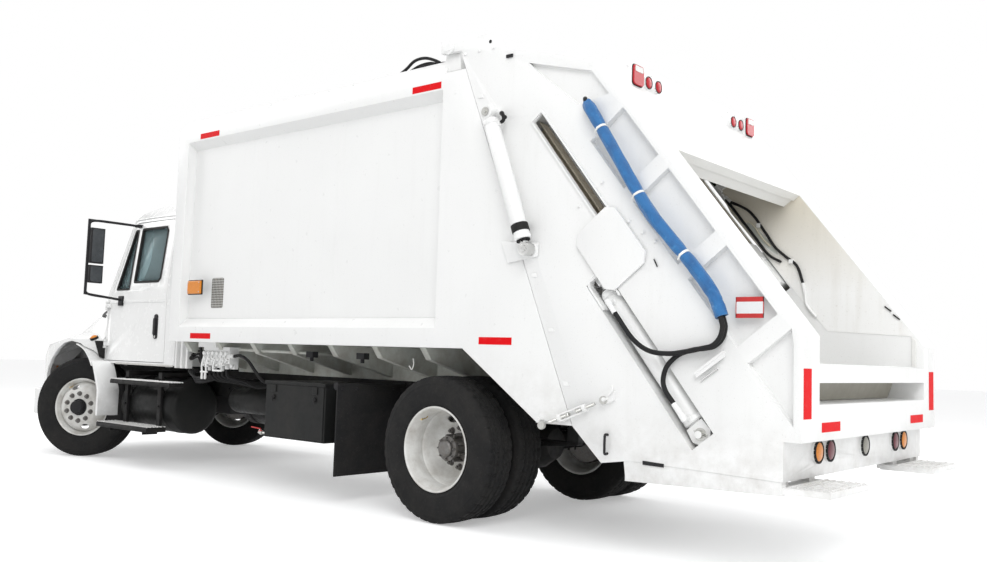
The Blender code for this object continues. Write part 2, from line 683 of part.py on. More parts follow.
def door(side, label, solid, core):
    """The slice of the cab's wall inside the door outline, with its windows and the recess for the pane."""
    pivot = (side * HINGE_X, HINGE_Y, 0.0)
    hinge = empty(f"door_hinge_{label}", pivot, TRUCK)
    slab = prism("x", *sorted((side * 0.6, side * 1.3)), DOOR_OUTLINE)
    reach = sorted((side * 0.6, side * 1.3))
    windows = [prism("x", *reach, outline) for outline in (WINDOW_OUTLINE, QUARTER_OUTLINE)]
    recess, pane, _ = leaning_pane(side)
    leaf = weld("leaf", WHITE, [solid], cuts=[core, *windows, recess], keeps=[slab])
    scratch.append(leaf)
    leaf.parent = None
    knuckles = []
    for z in DOOR_HINGES:
        low, high = z - 0.02, z + 0.02
        knuckles.append(rod((side * HINGE_X, HINGE_Y, low), (side * HINGE_X, HINGE_Y, high), 0.014, 16))
        knuckles.append(prism("z", low, high, [(side * x, y) for x, y in (
            (CAB_HALF - 0.01, DOOR_FRONT + 0.001), (CAB_HALF - 0.01, DOOR_FRONT + 0.06),
            (HINGE_X, DOOR_FRONT + 0.06), (HINGE_X + 0.008, HINGE_Y + 0.006),
            (HINGE_X - 0.008, HINGE_Y + 0.004),
            (CAB_HALF + 0.003, DOOR_FRONT + 0.001))]))
    bore = rod((side * HINGE_X, HINGE_Y, 1.0), (side * HINGE_X, HINGE_Y, 1.8), HINGE_PIN + RUNNING, 16)
    panel = weld(f"door_{label}", WHITE, [leaf, *knuckles], cuts=[bore], parent=hinge, pivot=pivot)
    weld(f"door_glass_{label}", GLASS, [pane], parent=hinge, pivot=pivot)
    mirror(side, label, hinge, pivot)
    return panel


def leaning_pane(side):
    """A sheet parallel to the door's leaning upper half: the recess cut for it, and the pane itself."""
    drop = (CAB_HALF - CAB_ROOF_HALF - 0.01) / (2.50 - BELT_HEIGHT)
    depth = 0.03

    def sheet(outline, near, far):
        bm = bmesh.new()
        rings = []
        for inward in (near, far):
            ring = []
            for y, z in outline:
                x = CAB_HALF - (z - BELT_HEIGHT) * drop - inward
                ring.append(bm.verts.new((side * x, y, z)))
            rings.append(ring)
        bm.faces.new(rings[0])
        bm.faces.new(list(reversed(rings[1])))
        for here in range(len(outline)):
            there = (here + 1) % len(outline)
            bm.faces.new((rings[0][here], rings[0][there], rings[1][there], rings[1][here]))
        return outward(bm)

    recess = sheet(PANE_OUTLINE, depth, 0.2)
    pane = sheet(grown(PANE_OUTLINE, -SEAT), depth + SEAT, depth + 0.007)
    return recess, pane, depth


MIRROR_X = CAB_HALF + 0.42
MIRROR_Y = -4.67


def mirror(side, label, hinge, pivot):
    """A tube loop from the door's lower front to its top, with the flat and the round head on it."""
    x, y = side * MIRROR_X, MIRROR_Y
    top_y = y + 0.12
    lean = (CAB_HALF - CAB_ROOF_HALF - 0.01) / (2.50 - BELT_HEIGHT)
    near = [CAB_HALF - lean * (z - BELT_HEIGHT) + 0.0004 for z in (2.42, 2.45)]
    tube = 0.012
    head = sorted((x - side * 0.15, x - side * 0.005))
    parts = [
        box(*sorted((side * (CAB_HALF + SEAT), side * (CAB_HALF + 0.02))), y - 0.07, y + 0.01, 1.60, 1.70),
        rod((side * (CAB_HALF + 0.01), y - 0.03, 1.66), (x, y, 1.70), tube, 8),
        rod((x, y, 1.69), (x, y, 2.46), tube, 8),
        rod((x, y, 2.45), (side * 0.97, top_y, 2.435), tube, 8),
        prism("y", top_y - 0.03, top_y + 0.03, [
            (side * near[0], 2.42), (side * 1.0, 2.42), (side * 1.0, 2.45), (side * near[1], 2.45)]),
        box(*head, y + 0.005, y + 0.05, 2.01, 2.37),
        box(*head, y + 0.005, y + 0.05, 1.81, 1.99),
    ]
    return weld(f"mirror_{label}", BLACK, parts, parent=hinge, pivot=pivot)


def seats():
    base = box(-0.80, 0.80, -4.20, -3.80, CAB_FLOOR + CAB_WALL + SEAT, 1.20)
    parts = [base]
    for x in (0.52, -0.42):
        half = 0.25 if x > 0 else 0.38
        parts.append(box(x - half, x + half, -4.30, -3.80, 1.19, 1.42))
        parts.append(prism("x", x - half, x + half, [
            (-3.95, 1.35), (-3.82, 1.35), (-3.74, 2.05), (-3.86, 2.05)]))
    return weld("seats", SEAT_CLOTH, parts)


def dashboard():
    front = CAB_FRONT + CAB_WALL + SEAT
    body = prism("x", -CAB_ROOF_HALF, CAB_ROOF_HALF, [
        (front, 1.53), (-4.62, 1.53), (-4.66, 1.66), (-4.86, 1.70), (front, 1.69)])
    wheel = turned([(0.20, -0.014), (0.23, -0.014), (0.23, 0.014), (0.20, 0.014)], (0.52, -4.42, 1.72),
                   (0.0, 0.5, 0.87), 24)
    column = rod((0.52, -4.67, 1.56), (0.52, -4.425, 1.715), 0.03, 10)
    spoke = rod((0.30, -4.42, 1.72), (0.74, -4.42, 1.72), 0.012, 8)
    return weld("dashboard", DASH, [body, wheel, column, spoke])


# Hood with its fenders, tilting forward about its front lower edge
HOOD_REAR = -5.0
HOOD_FRONT = -6.27
HOOD_LOW = 0.72
HOOD_PIVOT = (0.0, -6.24, 0.72)
HOOD_WALL = 0.035
HOOD_PIN = 0.010
ARCH_HALF = 0.62
ARCH_RISE = 0.70

# Columns: y, side x, fender z, crease x, crease z, shoulder x, shoulder z, top x, top z
HOOD_SECTIONS = [
    (HOOD_REAR, 1.05, 1.24, 1.01, 1.30, 0.97, 1.55, 0.80, 1.69),
    (-5.16, 1.17, 1.24, 1.02, 1.31, 0.95, 1.52, 0.76, 1.66),
    (-5.45, 1.20, 1.25, 0.98, 1.33, 0.88, 1.47, 0.68, 1.60),
    (-5.90, 1.19, 1.17, 0.88, 1.26, 0.74, 1.36, 0.56, 1.47),
    (-6.16, 1.10, 1.05, 0.84, 1.13, 0.66, 1.22, 0.50, 1.31),
    (HOOD_FRONT, 0.98, 0.96, 0.76, 1.02, 0.60, 1.08, 0.46, 1.13),
]


def hood_ring(row, inset, low):
    _, side_x, fender_z, crease_x, crease_z, shoulder_x, shoulder_z, top_x, top_z = row
    right = [
        (side_x - inset, low), (side_x - inset, fender_z - inset), (crease_x, crease_z - inset),
        (shoulder_x - inset, shoulder_z - inset), (top_x - inset, top_z - inset),
    ]
    return right + [(-x, z) for x, z in reversed(right)]


def hood_loft(inset, low, front, rear):
    rows = [(row[0], hood_ring(row, inset, low)) for row in HOOD_SECTIONS]
    rows[-1] = (front, rows[-1][1])
    if rear > HOOD_REAR:
        rows.insert(0, (rear, rows[0][1]))
    return loft("y", rows)


def arch_cut(x0, x1):
    outline = []
    for step in range(13):
        angle = math.pi * step / 12
        outline.append((FRONT_AXLE_Y + ARCH_HALF * math.cos(angle),
                        AXLE_HEIGHT + ARCH_RISE * math.sin(angle)))
    outline.append((FRONT_AXLE_Y - ARCH_HALF, 0.0))
    outline.append((FRONT_AXLE_Y + ARCH_HALF, 0.0))
    return prism("x", x0, x1, outline)


GRILLE_HALF = 0.42
GRILLE_LOW = 0.80
GRILLE_HIGH = 1.08


def hood():
    pivot = HOOD_PIVOT
    hinge = empty("hood_hinge", pivot, TRUCK)
    outer = hood_loft(0.0, HOOD_LOW, HOOD_FRONT, HOOD_REAR)
    inner = hood_loft(HOOD_WALL, HOOD_LOW - 0.3, HOOD_FRONT + HOOD_WALL, HOOD_REAR + 0.3)
    window = box(-GRILLE_HALF, GRILLE_HALF, HOOD_FRONT - 0.1, HOOD_FRONT + 0.15, GRILLE_LOW, GRILLE_HIGH)
    lamps = both(rod((0.70, HOOD_FRONT + 0.05, 0.88), (0.70, HOOD_FRONT - 0.02, 0.88), 0.09, 20))
    notch = box(RAIL_IN, RAIL_OUT + 0.025, HOOD_FRONT - 0.1, HOOD_FRONT + 0.1,
                HOOD_LOW - 0.1, HOOD_LOW + 0.04)
    shell = weld("hood_rough", WHITE, [outer, *lamps], cuts=[inner, window, *both(arch_cut(0.5, 1.4), notch)])
    scratch.append(shell)
    shell.parent = None
    tab = box(RAIL_OUT + 0.004, RAIL_OUT + 0.022, pivot[1] - 0.02, pivot[1] + 0.014,
              pivot[2] - 0.012, HOOD_LOW + 0.09)
    hinge_pin = rod((RAIL_IN + 0.035, *pivot[1:]), (RAIL_OUT + 0.02, *pivot[1:]), HOOD_PIN, 16)
    weld("hood", WHITE, [shell, *both(tab, hinge_pin)], parent=hinge, pivot=pivot)
    bars = both(box(GRILLE_HALF - 0.03, GRILLE_HALF - SEAT, HOOD_FRONT + 0.004, HOOD_FRONT + 0.03,
                    GRILLE_LOW + SEAT, GRILLE_HIGH - SEAT))
    count = 6
    pitch = (GRILLE_HIGH - GRILLE_LOW) / count
    for bar in range(count):
        z = GRILLE_LOW + pitch * (bar + 0.5)
        bars.append(box(-GRILLE_HALF + 0.01, GRILLE_HALF - 0.01, HOOD_FRONT + 0.006, HOOD_FRONT + 0.026,
                        z - 0.012, z + 0.012))
    weld("grille", BLACK, bars, parent=hinge, pivot=pivot)


# Load body and tailgate share the slanted joint between them
BODY_FRONT = -3.46
BODY_LOW = 1.24
BODY_FLOOR = 1.30
BODY_ROOF_INNER = 3.31
BODY_TAIL_LOW = 0.771
SHEET_X = HALF_WIDTH - 0.09
SHEET_INNER = SHEET_X - 0.05
JOINT_LOW = (1.21, 0.76)
JOINT_SLOPE = 0.4065
ROOF_HALF = HALF_WIDTH - 0.10
CHAMFER_LOW = 3.24


def joint_y(z):
    """Where the slanted joint between body and tailgate lies at a height."""
    return JOINT_LOW[0] - JOINT_SLOPE * (z - JOINT_LOW[1])


TAIL_PIN = (0.0, 0.04, 3.42)
TAIL_PIN_RADIUS = 0.028
EAR_OUT = HALF_WIDTH - 0.042


def body_shell():
    plain = [
        (-HALF_WIDTH, BODY_LOW), (HALF_WIDTH, BODY_LOW), (HALF_WIDTH, CHAMFER_LOW), (ROOF_HALF, ROOF_HEIGHT),
        (-ROOF_HALF, ROOF_HEIGHT), (-HALF_WIDTH, CHAMFER_LOW),
    ]
    half = [
        (HALF_WIDTH, BODY_LOW), (HALF_WIDTH, 1.38), (SHEET_X, 1.46), (SHEET_X, 3.06), (HALF_WIDTH, 3.12),
        (HALF_WIDTH, CHAMFER_LOW), (ROOF_HALF, ROOF_HEIGHT),
    ]
    recessed = half + [(-x, z) for x, z in reversed(half)]
    tail = prism("x", -HALF_WIDTH, HALF_WIDTH, [
        (-0.01, BODY_LOW), (0.268, BODY_LOW), (0.935, BODY_TAIL_LOW), (joint_y(BODY_TAIL_LOW), BODY_TAIL_LOW),
        (joint_y(CHAMFER_LOW), CHAMFER_LOW), (-0.01, CHAMFER_LOW),
    ])
    tail_top = prism("x", -ROOF_HALF, ROOF_HALF, [
        (-0.01, CHAMFER_LOW - 0.05), (joint_y(CHAMFER_LOW - 0.05), CHAMFER_LOW - 0.05),
        (joint_y(ROOF_HEIGHT), ROOF_HEIGHT), (-0.01, ROOF_HEIGHT),
    ])
    post = prism("y", BODY_FRONT, BODY_FRONT + 0.16, plain)
    middle = prism("y", BODY_FRONT + 0.05, 0.0, recessed)
    ear_low = CHAMFER_LOW + 0.02
    ear = prism("x", HALF_WIDTH - 0.12, EAR_OUT, [
        (-0.05, ear_low), (0.12, ear_low), (0.10, 3.45), (0.07, 3.47), (0.01, 3.47), (-0.02, 3.45)])
    eye = rod((SHEET_INNER, *TAIL_PIN[1:]), (HALF_WIDTH + 0.1, *TAIL_PIN[1:]), TAIL_PIN_RADIUS + RUNNING)
    lift_plate = lift_bracket()
    room = prism("x", -SHEET_INNER, SHEET_INNER, [
        (BODY_FRONT + 0.05, BODY_FLOOR), (2.0, BODY_FLOOR), (2.0, BODY_ROOF_INNER),
        (BODY_FRONT + 0.05, BODY_ROOF_INNER)])
    under = box(-SHEET_X, SHEET_X, -0.05, 2.0, 0.5, BODY_LOW)
    joint_cut = prism("x", -2, 2, [(joint_y(0.0), 0.0), (3.0, 0.0), (3.0, 5.0), (joint_y(5.0), 5.0)])
    shell = weld("body_rough", WHITE, [post, middle, tail, tail_top], cuts=[room, under, joint_cut])
    shell.parent = None
    scratch.append(shell)
    weld("body_shell", WHITE, [shell, *both(ear, *lift_plate)], cuts=both(eye))
    clear_scratch()


# Lift cylinder: its upper pin is on the tailgate, its rod's eye at the body's bracket
LIFT_TOP = (0.50, 2.86)
LIFT_EYE = (0.86, 1.90)
LIFT_X = HALF_WIDTH + 0.08
LIFT_RADIUS = 0.055
LIFT_ROD = 0.03
LIFT_PIN = 0.022
LIFT_EYE_X = (LIFT_X - 0.042, LIFT_X + 0.028)


def lift_bracket():
    """A plate on the body's side that reaches over the joint to the rod's eye, with the pin in it."""
    y, z = LIFT_EYE
    foot_high = (joint_y(z + 0.07) - 0.12, z + 0.07)
    foot_low = (joint_y(z - 0.08) - 0.12, z - 0.08)
    plate = prism("x", HALF_WIDTH + PANEL_GAP, HALF_WIDTH + 0.02, [
        foot_high, (y + 0.05, z + 0.046), (y + 0.05, z - 0.046), foot_low])
    foot = prism("x", HALF_WIDTH - 0.02, HALF_WIDTH + 0.02, [
        foot_high, (joint_y(z + 0.05) - 0.02, z + 0.05), (joint_y(z - 0.06) - 0.02, z - 0.06), foot_low])
    boss = rod((HALF_WIDTH + 0.01, y, z), (LIFT_EYE_X[0] - PANEL_GAP, y, z), 0.045)
    return [plate, foot, boss]


def lift_cylinders(tail, tail_pivot):
    top = Vector((0.0, LIFT_TOP[0], LIFT_TOP[1]))
    eye = Vector((0.0, LIFT_EYE[0], LIFT_EYE[1]))
    way = (eye - top).normalized()
    length = (eye - top).length
    for side, label in ((1, "left"), (-1, "right")):
        across = Vector((side * LIFT_X, 0.0, 0.0))
        pivot = across + top
        hinge = empty(f"lift_pin_{label}", pivot - Vector(tail_pivot), tail)
        head = across + top
        barrel = rod(head + way * 0.065, head + way * (length - 0.065), LIFT_RADIUS)
        neck = rod(head + way * 0.03, head + way * 0.085, 0.026, 12)
        rod_bore = rod(head + way * 0.095, head + way * length, LIFT_ROD + RUNNING)
        half_eye = Vector((0.03, 0.0, 0.0))
        knuckle_eye = rod(head - half_eye, head + half_eye, 0.05)
        pin_hole = rod(head - half_eye * 3, head + half_eye * 3, LIFT_PIN + RUNNING)
        weld(f"lift_barrel_{label}", WHITE, [barrel, neck, knuckle_eye], cuts=[pin_hole, rod_bore],
             parent=hinge, pivot=pivot)
        foot = across + eye
        shaft = rod(head + way * 0.10, foot - way * 0.02, LIFT_ROD)
        near, far = (side * x for x in LIFT_EYE_X)
        eye_ring = rod((near, foot.y, foot.z), (far, foot.y, foot.z), 0.045)
        pin_head = rod((near + side * 0.03, foot.y, foot.z), (far + side * 0.012, foot.y, foot.z), LIFT_PIN)
        weld(f"lift_rod_{label}", STEEL, [shaft, eye_ring, pin_head], parent=hinge, pivot=pivot)
        clear_scratch()


def body_subframe():
    high = BODY_LOW - SEAT
    low = RAIL_HIGH + SEAT
    rear = 0.95
    shapes = both(box(RAIL_IN, RAIL_OUT, BODY_FRONT + 0.02, rear, low, high))
    for number in range(8):
        y = BODY_FRONT + 0.12 + number * 0.52
        half = [(RAIL_OUT - 0.02, low + 0.02), (SHEET_X - 0.08, high - 0.09), (SHEET_X - 0.01, high)]
        outline = half + [(-x, z) for x, z in reversed(half)]
        shapes.append(prism("y", y - 0.03, y + 0.03, outline))
    shapes.append(box(-SHEET_X + 0.01, SHEET_X - 0.01, rear - 0.10, rear, 1.06, high))
    return weld("body_subframe", UNDER_WHITE, shapes)


def valve_bank():
    plate = box(0.92, 1.10, -3.14, -2.92, 1.08, BODY_LOW - SEAT)
    block = box(0.94, 1.08, -3.12, -2.76, 0.98, 1.10)
    levers = []
    for number in range(3):
        y = -3.06 + number * 0.10
        levers.append(rod((1.01, y, 1.0), (1.03, y + 0.01, 0.88), 0.009, 8))
    return weld("valve_bank", WHITE, [plate, block, *levers])


EJECTOR_FACE = -2.55


def ejector_panel():
    gap = 0.012
    slider = empty("ejector_slide", (0.0, 0.0, 0.0), TRUCK)
    half = SHEET_INNER - gap
    plate = prism("x", -half, half, [
        (EJECTOR_FACE - 0.35, BODY_FLOOR + gap), (EJECTOR_FACE + 0.25, BODY_FLOOR + gap),
        (EJECTOR_FACE + 0.25, 1.36),
        (EJECTOR_FACE + 0.05, 1.75), (EJECTOR_FACE - 0.05, 3.18), (EJECTOR_FACE - 0.13, 3.18),
        (EJECTOR_FACE - 0.10, 1.45), (EJECTOR_FACE - 0.35, 1.36)])
    shoe = box(half - 0.10, half, EJECTOR_FACE - 0.60, EJECTOR_FACE + 0.10,
               BODY_FLOOR + SEAT, BODY_FLOOR + 0.12)
    return weld("ejector_panel", WHITE, [plate, *both(shoe)], parent=slider)


# Tailgate: distances along the rear slope (s, downwards) and out from it (o)
SLOPE = math.radians(51.9)
SLOPE_OUT = 2.955
REAR_FACE = 2.69
WALL_INNER = HALF_WIDTH - 0.25
PACKER_HINGE = (2.30, -0.30)
TROUGH_RADIUS = 0.885


def slope_point(out, down):
    """(y, z) of a point on the slope's own axes."""
    y = out * math.sin(SLOPE) + down * math.cos(SLOPE)
    z = out * math.cos(SLOPE) - down * math.sin(SLOPE)
    return (y, z)


def slope_box(x0, x1, out0, out1, down0, down1):
    return prism("x", x0, x1, [
        slope_point(out0, down0), slope_point(out1, down0),
        slope_point(out1, down1), slope_point(out0, down1)])


def tail_outline():
    gap = PANEL_GAP
    top_z = ROOF_HEIGHT - 0.03
    rear_corner = (REAR_FACE, (SLOPE_OUT - REAR_FACE * math.sin(SLOPE)) / math.cos(SLOPE))
    return [
        (joint_y(0.765) + gap, 0.765), (1.43, 0.561), (1.643, 0.593), (2.59, 0.565), (2.59, 0.78),
        (REAR_FACE, 0.78), rear_corner, slope_point(SLOPE_OUT, -1.56), (1.30, 3.115), (0.813, 3.257),
        (0.650, 3.293), (joint_y(top_z) + gap, top_z),
    ]


def trough_arc():
    """The inside of the hopper trough, from the sill forward and down to the joint."""
    cy, cz = slope_point(*PACKER_HINGE)
    points = []
    for step in range(12):
        angle = math.radians(58 - step * 8)
        points.append((cy + TROUGH_RADIUS * math.sin(angle), cz - TROUGH_RADIUS * math.cos(angle)))
    return points


def tail_room():
    """The open space inside the tailgate, out through the mouth behind and the joint in front."""
    arc = trough_arc()
    return [
        (-0.3, 3.23), (0.64, 3.225), (0.80, 3.19), (1.28, 3.05), slope_point(SLOPE_OUT - 0.07, -0.92),
        slope_point(SLOPE_OUT - 0.07, -0.90), slope_point(SLOPE_OUT + 0.5, -0.90), (3.4, 1.6), (3.4, 1.20),
        (2.60, 1.20), *arc, (joint_y(1.305) + PANEL_GAP + 0.04, 1.305), (-0.3, 1.305),
    ]


# Columns: pocket's first and last distance down the slope
POCKETS = [(-1.23, -0.81), (-0.70, -0.19), (-0.08, 0.42)]
POCKET_OUT = (2.61, 2.915)
POCKET_DEPTH = 0.05
SLOT_OUT = (2.36, 2.45)
SLOT_DOWN = (-1.66, -0.36)
CYLINDER_OUT = 2.12
CYLINDER_X = HALF_WIDTH - 0.075
CYLINDER_RADIUS = 0.062
CYLINDER_DOWN = (-0.40, 0.62)
PACKER_ROD = 0.032
CLEVIS_PIN = 0.022
# The outer shoe plate: nearest and farthest out from the slope, first and last distance down it
SHOE = (CYLINDER_OUT + 0.02, 2.50, -0.80, -0.34)


def tailgate(tail, pivot):
    outline = tail_outline()
    hull = prism("x", -HALF_WIDTH, HALF_WIDTH, outline)
    room = prism("x", -WALL_INNER, WALL_INNER, tail_room())
    cuts = [room]
    for first, last in POCKETS:
        cuts += both(slope_box(HALF_WIDTH - POCKET_DEPTH, HALF_WIDTH + 0.1, *POCKET_OUT, first, last))
    lowest = prism("x", HALF_WIDTH - POCKET_DEPTH, HALF_WIDTH + 0.1, [
        slope_point(2.61, 0.53), slope_point(2.93, 0.53), (2.645, 1.30), (2.645, 0.86)])
    upper = prism("x", HALF_WIDTH - 0.03, HALF_WIDTH + 0.1, [
        (0.78, 3.18), (1.29, 3.04), (1.43, 2.87), (1.20, 2.83), (0.86, 3.10)])
    cuts += both(lowest, upper)
    # The hollow inside the wall that the packer's trunnion and rod travel in, and its slots
    cuts += both(slope_box(WALL_INNER + 0.05, HALF_WIDTH - 0.025, CYLINDER_OUT - 0.075, 2.50, -1.72, -0.33))
    cuts += both(slope_box(WALL_INNER - 0.07, HALF_WIDTH + 0.1, *SLOT_OUT, *SLOT_DOWN))
    cuts += both(slope_box(CYLINDER_X - 0.08, HALF_WIDTH + 0.1, CYLINDER_OUT - 0.085, CYLINDER_OUT + 0.085,
                           CYLINDER_DOWN[0] - 0.10, CYLINDER_DOWN[1] + 0.10))
    # Slot in the rear panel under the sill, and the lamp recess below it
    cuts.append(box(-WALL_INNER, WALL_INNER, 2.42, REAR_FACE + 0.1, 0.98, 1.10))
    shapes = [hull]
    lamps = rear_lamps()
    shell = weld("tail_rough", WHITE, shapes, cuts=cuts)
    shell.parent = None
    scratch.append(shell)
    ear_out = prism("x", EAR_OUT + PANEL_GAP, HALF_WIDTH, [
        (-0.042, 3.39), (0.16, 3.38), (0.23, 3.28), (0.55, 3.27),
        (0.50, 3.41), (0.38, 3.458), (-0.042, 3.485)])
    pin = rod((HALF_WIDTH - 0.135, *TAIL_PIN[1:]), (HALF_WIDTH + 0.01, *TAIL_PIN[1:]), TAIL_PIN_RADIUS)
    lift_pin = rod((HALF_WIDTH - 0.02, *LIFT_TOP), (LIFT_X + 0.035, *LIFT_TOP), LIFT_PIN)
    lift_boss = rod((HALF_WIDTH - 0.02, *LIFT_TOP), (LIFT_X - 0.035, *LIFT_TOP), 0.05)
    lower_pin = slope_point(CYLINDER_OUT, CYLINDER_DOWN[1] + 0.05)
    clevis_pin = rod((WALL_INNER + 0.07, *lower_pin), (HALF_WIDTH, *lower_pin), CLEVIS_PIN)
    steps = [
        box(0.62, HALF_WIDTH - 0.02, 2.50, REAR_END, 0.50, 0.535),
        box(0.70, 0.78, 2.45, 2.56, 0.50, 0.60),
        box(HALF_WIDTH - 0.14, HALF_WIDTH - 0.06, 2.45, 2.56, 0.50, 0.60),
        prism("x", HALF_WIDTH - 0.06, HALF_WIDTH - 0.005, [
            (1.60, 0.47), (2.58, 0.49), (2.58, 0.585), (1.60, 0.605)]),
    ]
    lamp_box = upper_lamp_box(HALF_WIDTH - 0.17)
    weld("tailgate_shell", WHITE,
         [shell, lamp_box, *lamps, *both(ear_out, pin, lift_pin, lift_boss, clevis_pin, *steps)],
         parent=tail, pivot=pivot)
    clear_scratch()


UPPER_LAMP_FACE = 1.385
UPPER_LAMP_OUT = 0.02


def upper_lamp_box(half):
    """The upright wedge across the slope's top that the upper lamps sit on."""
    return prism("x", -half, half, [
        (UPPER_LAMP_FACE - 0.13, 3.10), slope_point(2.93, -1.50), (UPPER_LAMP_FACE, 3.0),
        (UPPER_LAMP_FACE, 3.155), (UPPER_LAMP_FACE - 0.015, 3.17), (UPPER_LAMP_FACE - 0.13, 3.165)])


def rear_lamps():
    """Round lamps in the lower panel, and the round and square ones on the upper lamp box."""
    made = []
    for x in (-0.77, -0.59, 0.0, 0.59, 0.77):
        made.append(rod((x, 2.57, 0.705), (x, 2.612, 0.705), 0.0675, 16))
    near, far = UPPER_LAMP_FACE - 0.02, UPPER_LAMP_FACE + UPPER_LAMP_OUT
    for x in (0.70, 0.572, -0.70, -0.572):
        made.append(rod((x, near, 3.066), (x, far, 3.066), 0.045, 14))
    for x in (0.85, -0.85):
        made.append(box(x - 0.068, x + 0.068, near, far, 3.004, 3.15))
    return made


BLADE_PIN = 0.025


def packer_carriage(tail, pivot):
    """Slide plate, trunnions through the wall slots, outer shoe plates and the two cylinder rods."""
    slider = empty("carriage_slide", (0.0, 0.0, 0.0), tail)
    out, down = PACKER_HINGE
    half = WALL_INNER - 0.025
    plate = slope_box(-half, half, out + 0.03, out + 0.11, -1.15, down - 0.09)
    head = slope_box(-half, half, out - 0.02, out + 0.15, -0.80, -0.66)
    block = slope_box(half - 0.045, HALF_WIDTH + 0.022, SLOT_OUT[0] + 0.01, SLOT_OUT[1] - 0.01, -0.74, -0.42)
    link = slope_box(CYLINDER_X - 0.03, CYLINDER_X + 0.03, CYLINDER_OUT - 0.035, SLOT_OUT[0] + 0.03,
                     -0.56, -0.46)
    ram = rod((CYLINDER_X, *slope_point(CYLINDER_OUT, -0.48)),
              (CYLINDER_X, *slope_point(CYLINDER_OUT, CYLINDER_DOWN[1] - 0.10)), PACKER_ROD)
    near, far, first, last = SHOE
    corner = 0.05
    shoe = prism("x", HALF_WIDTH + 0.008, HALF_WIDTH + 0.024, [slope_point(*spot) for spot in (
        (near + corner, first), (far - corner, first), (far, first + corner), (far, last - corner),
        (far - corner, last), (near + corner, last), (near, last - corner), (near, first + corner))])
    lugs = []
    hinge_at = slope_point(*PACKER_HINGE)
    for x in (-0.70, 0.0, 0.70):
        lugs.append(rod((x - 0.06, *hinge_at), (x + 0.06, *hinge_at), 0.05))
        lugs.append(slope_box(x - 0.06, x + 0.06, out - 0.03, out + 0.08, down - 0.14, down))
    pin = rod((-half, *hinge_at), (half, *hinge_at), BLADE_PIN)
    weld("packer_carriage", WHITE, [plate, head, pin, *lugs, *both(block, link, ram, shoe)],
         parent=slider, pivot=pivot)
    clear_scratch()
    return slider


BLADE_LENGTH = 0.85
BLADE_ANGLE = math.radians(-11)


def packer_blade(slider, pivot):
    """The sweep blade hanging from the carriage's lower edge, at its forward limit."""
    cy, cz = slope_point(*PACKER_HINGE)
    hinge_at = Vector((0.0, cy, cz))
    hinge = empty("blade_hinge", hinge_at - Vector(pivot), slider)
    down = Vector((0.0, math.sin(BLADE_ANGLE), -math.cos(BLADE_ANGLE)))
    across = Vector((0.0, math.cos(BLADE_ANGLE), math.sin(BLADE_ANGLE)))

    def at(along, off):
        point = hinge_at + down * along + across * off
        return (point.y, point.z)

    half = WALL_INNER - 0.04
    sheet = prism("x", -half, half, [at(0.075, -0.04), at(BLADE_LENGTH, -0.015), at(BLADE_LENGTH, 0.015),
                                     at(0.55, 0.05), at(0.075, 0.04)])
    ears = []
    for x in (-0.84, -0.56, -0.14, 0.14, 0.56, 0.84):
        ears.append(prism("x", x - 0.05, x + 0.05, [at(0.12, -0.035), at(0.0, -0.055), at(-0.05, -0.02),
                                                    at(-0.05, 0.02), at(0.0, 0.055), at(0.12, 0.035)]))
    bore = rod((-WALL_INNER, cy, cz), (WALL_INNER, cy, cz), BLADE_PIN + RUNNING)
    weld("packer_blade", WHITE, [sheet, *ears], cuts=[bore], parent=hinge, pivot=tuple(hinge_at))
    clear_scratch()


# Hoses on the tailgate's side, and the packer barrels' ports they run to, as distances down the slope
WRAP_RADIUS = 0.042
WRAP_X = HALF_WIDTH + WRAP_RADIUS + SEAT
HOSE_RADIUS = 0.015
FITTING_RADIUS = 0.017
HIGH_PORT = CYLINDER_DOWN[0] + 0.10
LOW_PORT = CYLINDER_DOWN[1] - 0.06
HIGH_FITTING_END = HIGH_PORT + 0.085
LOW_FITTING_END = LOW_PORT - 0.106


def packer_barrels(tail, pivot):
    for side, label in ((1, "left"), (-1, "right")):
        first, last = CYLINDER_DOWN
        x = side * CYLINDER_X
        start = Vector((x, *slope_point(CYLINDER_OUT, first)))
        end = Vector((x, *slope_point(CYLINDER_OUT, last - 0.05)))
        way = (end - start).normalized()
        barrel = rod(start, end + way * 0.02, CYLINDER_RADIUS)
        pin_at = slope_point(CYLINDER_OUT, last + 0.05)
        lug = slope_box(*sorted((x - side * 0.03, x + side * 0.03)), CYLINDER_OUT - 0.04, CYLINDER_OUT + 0.04,
                        last - 0.05, last + 0.085)
        hole = rod((x - 0.2, *pin_at), (x + 0.2, *pin_at), CLEVIS_PIN + SEAT)
        ports = []
        for port, fitting_end in ((HIGH_PORT, HIGH_FITTING_END), (LOW_PORT, LOW_FITTING_END)):
            back = math.copysign(0.015, port - fitting_end)
            ports.append(rod((x, *slope_point(CYLINDER_OUT, port)),
                             (side * (WRAP_X + 0.008), *slope_point(CYLINDER_OUT, port)), 0.018, 12))
            ports.append(rod((side * WRAP_X, *slope_point(CYLINDER_OUT, port + back)),
                             (side * WRAP_X, *slope_point(CYLINDER_OUT, fitting_end)), FITTING_RADIUS, 12))
        ram_bore = rod(start - way * 0.1, end - way * 0.045, PACKER_ROD + RUNNING)
        weld(f"packer_barrel_{label}", WHITE, [barrel, lug, *ports], cuts=[hole, ram_bore],
             parent=tail, pivot=pivot)
        clear_scratch()


# The hoses beside the packer cylinder: the wrapped bundle on the wall, and a free hose to each port
WRAP_ROUTE = [
    (1.285, 2.827), (1.50, 2.49), (1.727, 2.133), (1.92, 1.90), (2.081, 1.725), (2.19, 1.58), (2.242, 1.453),
]
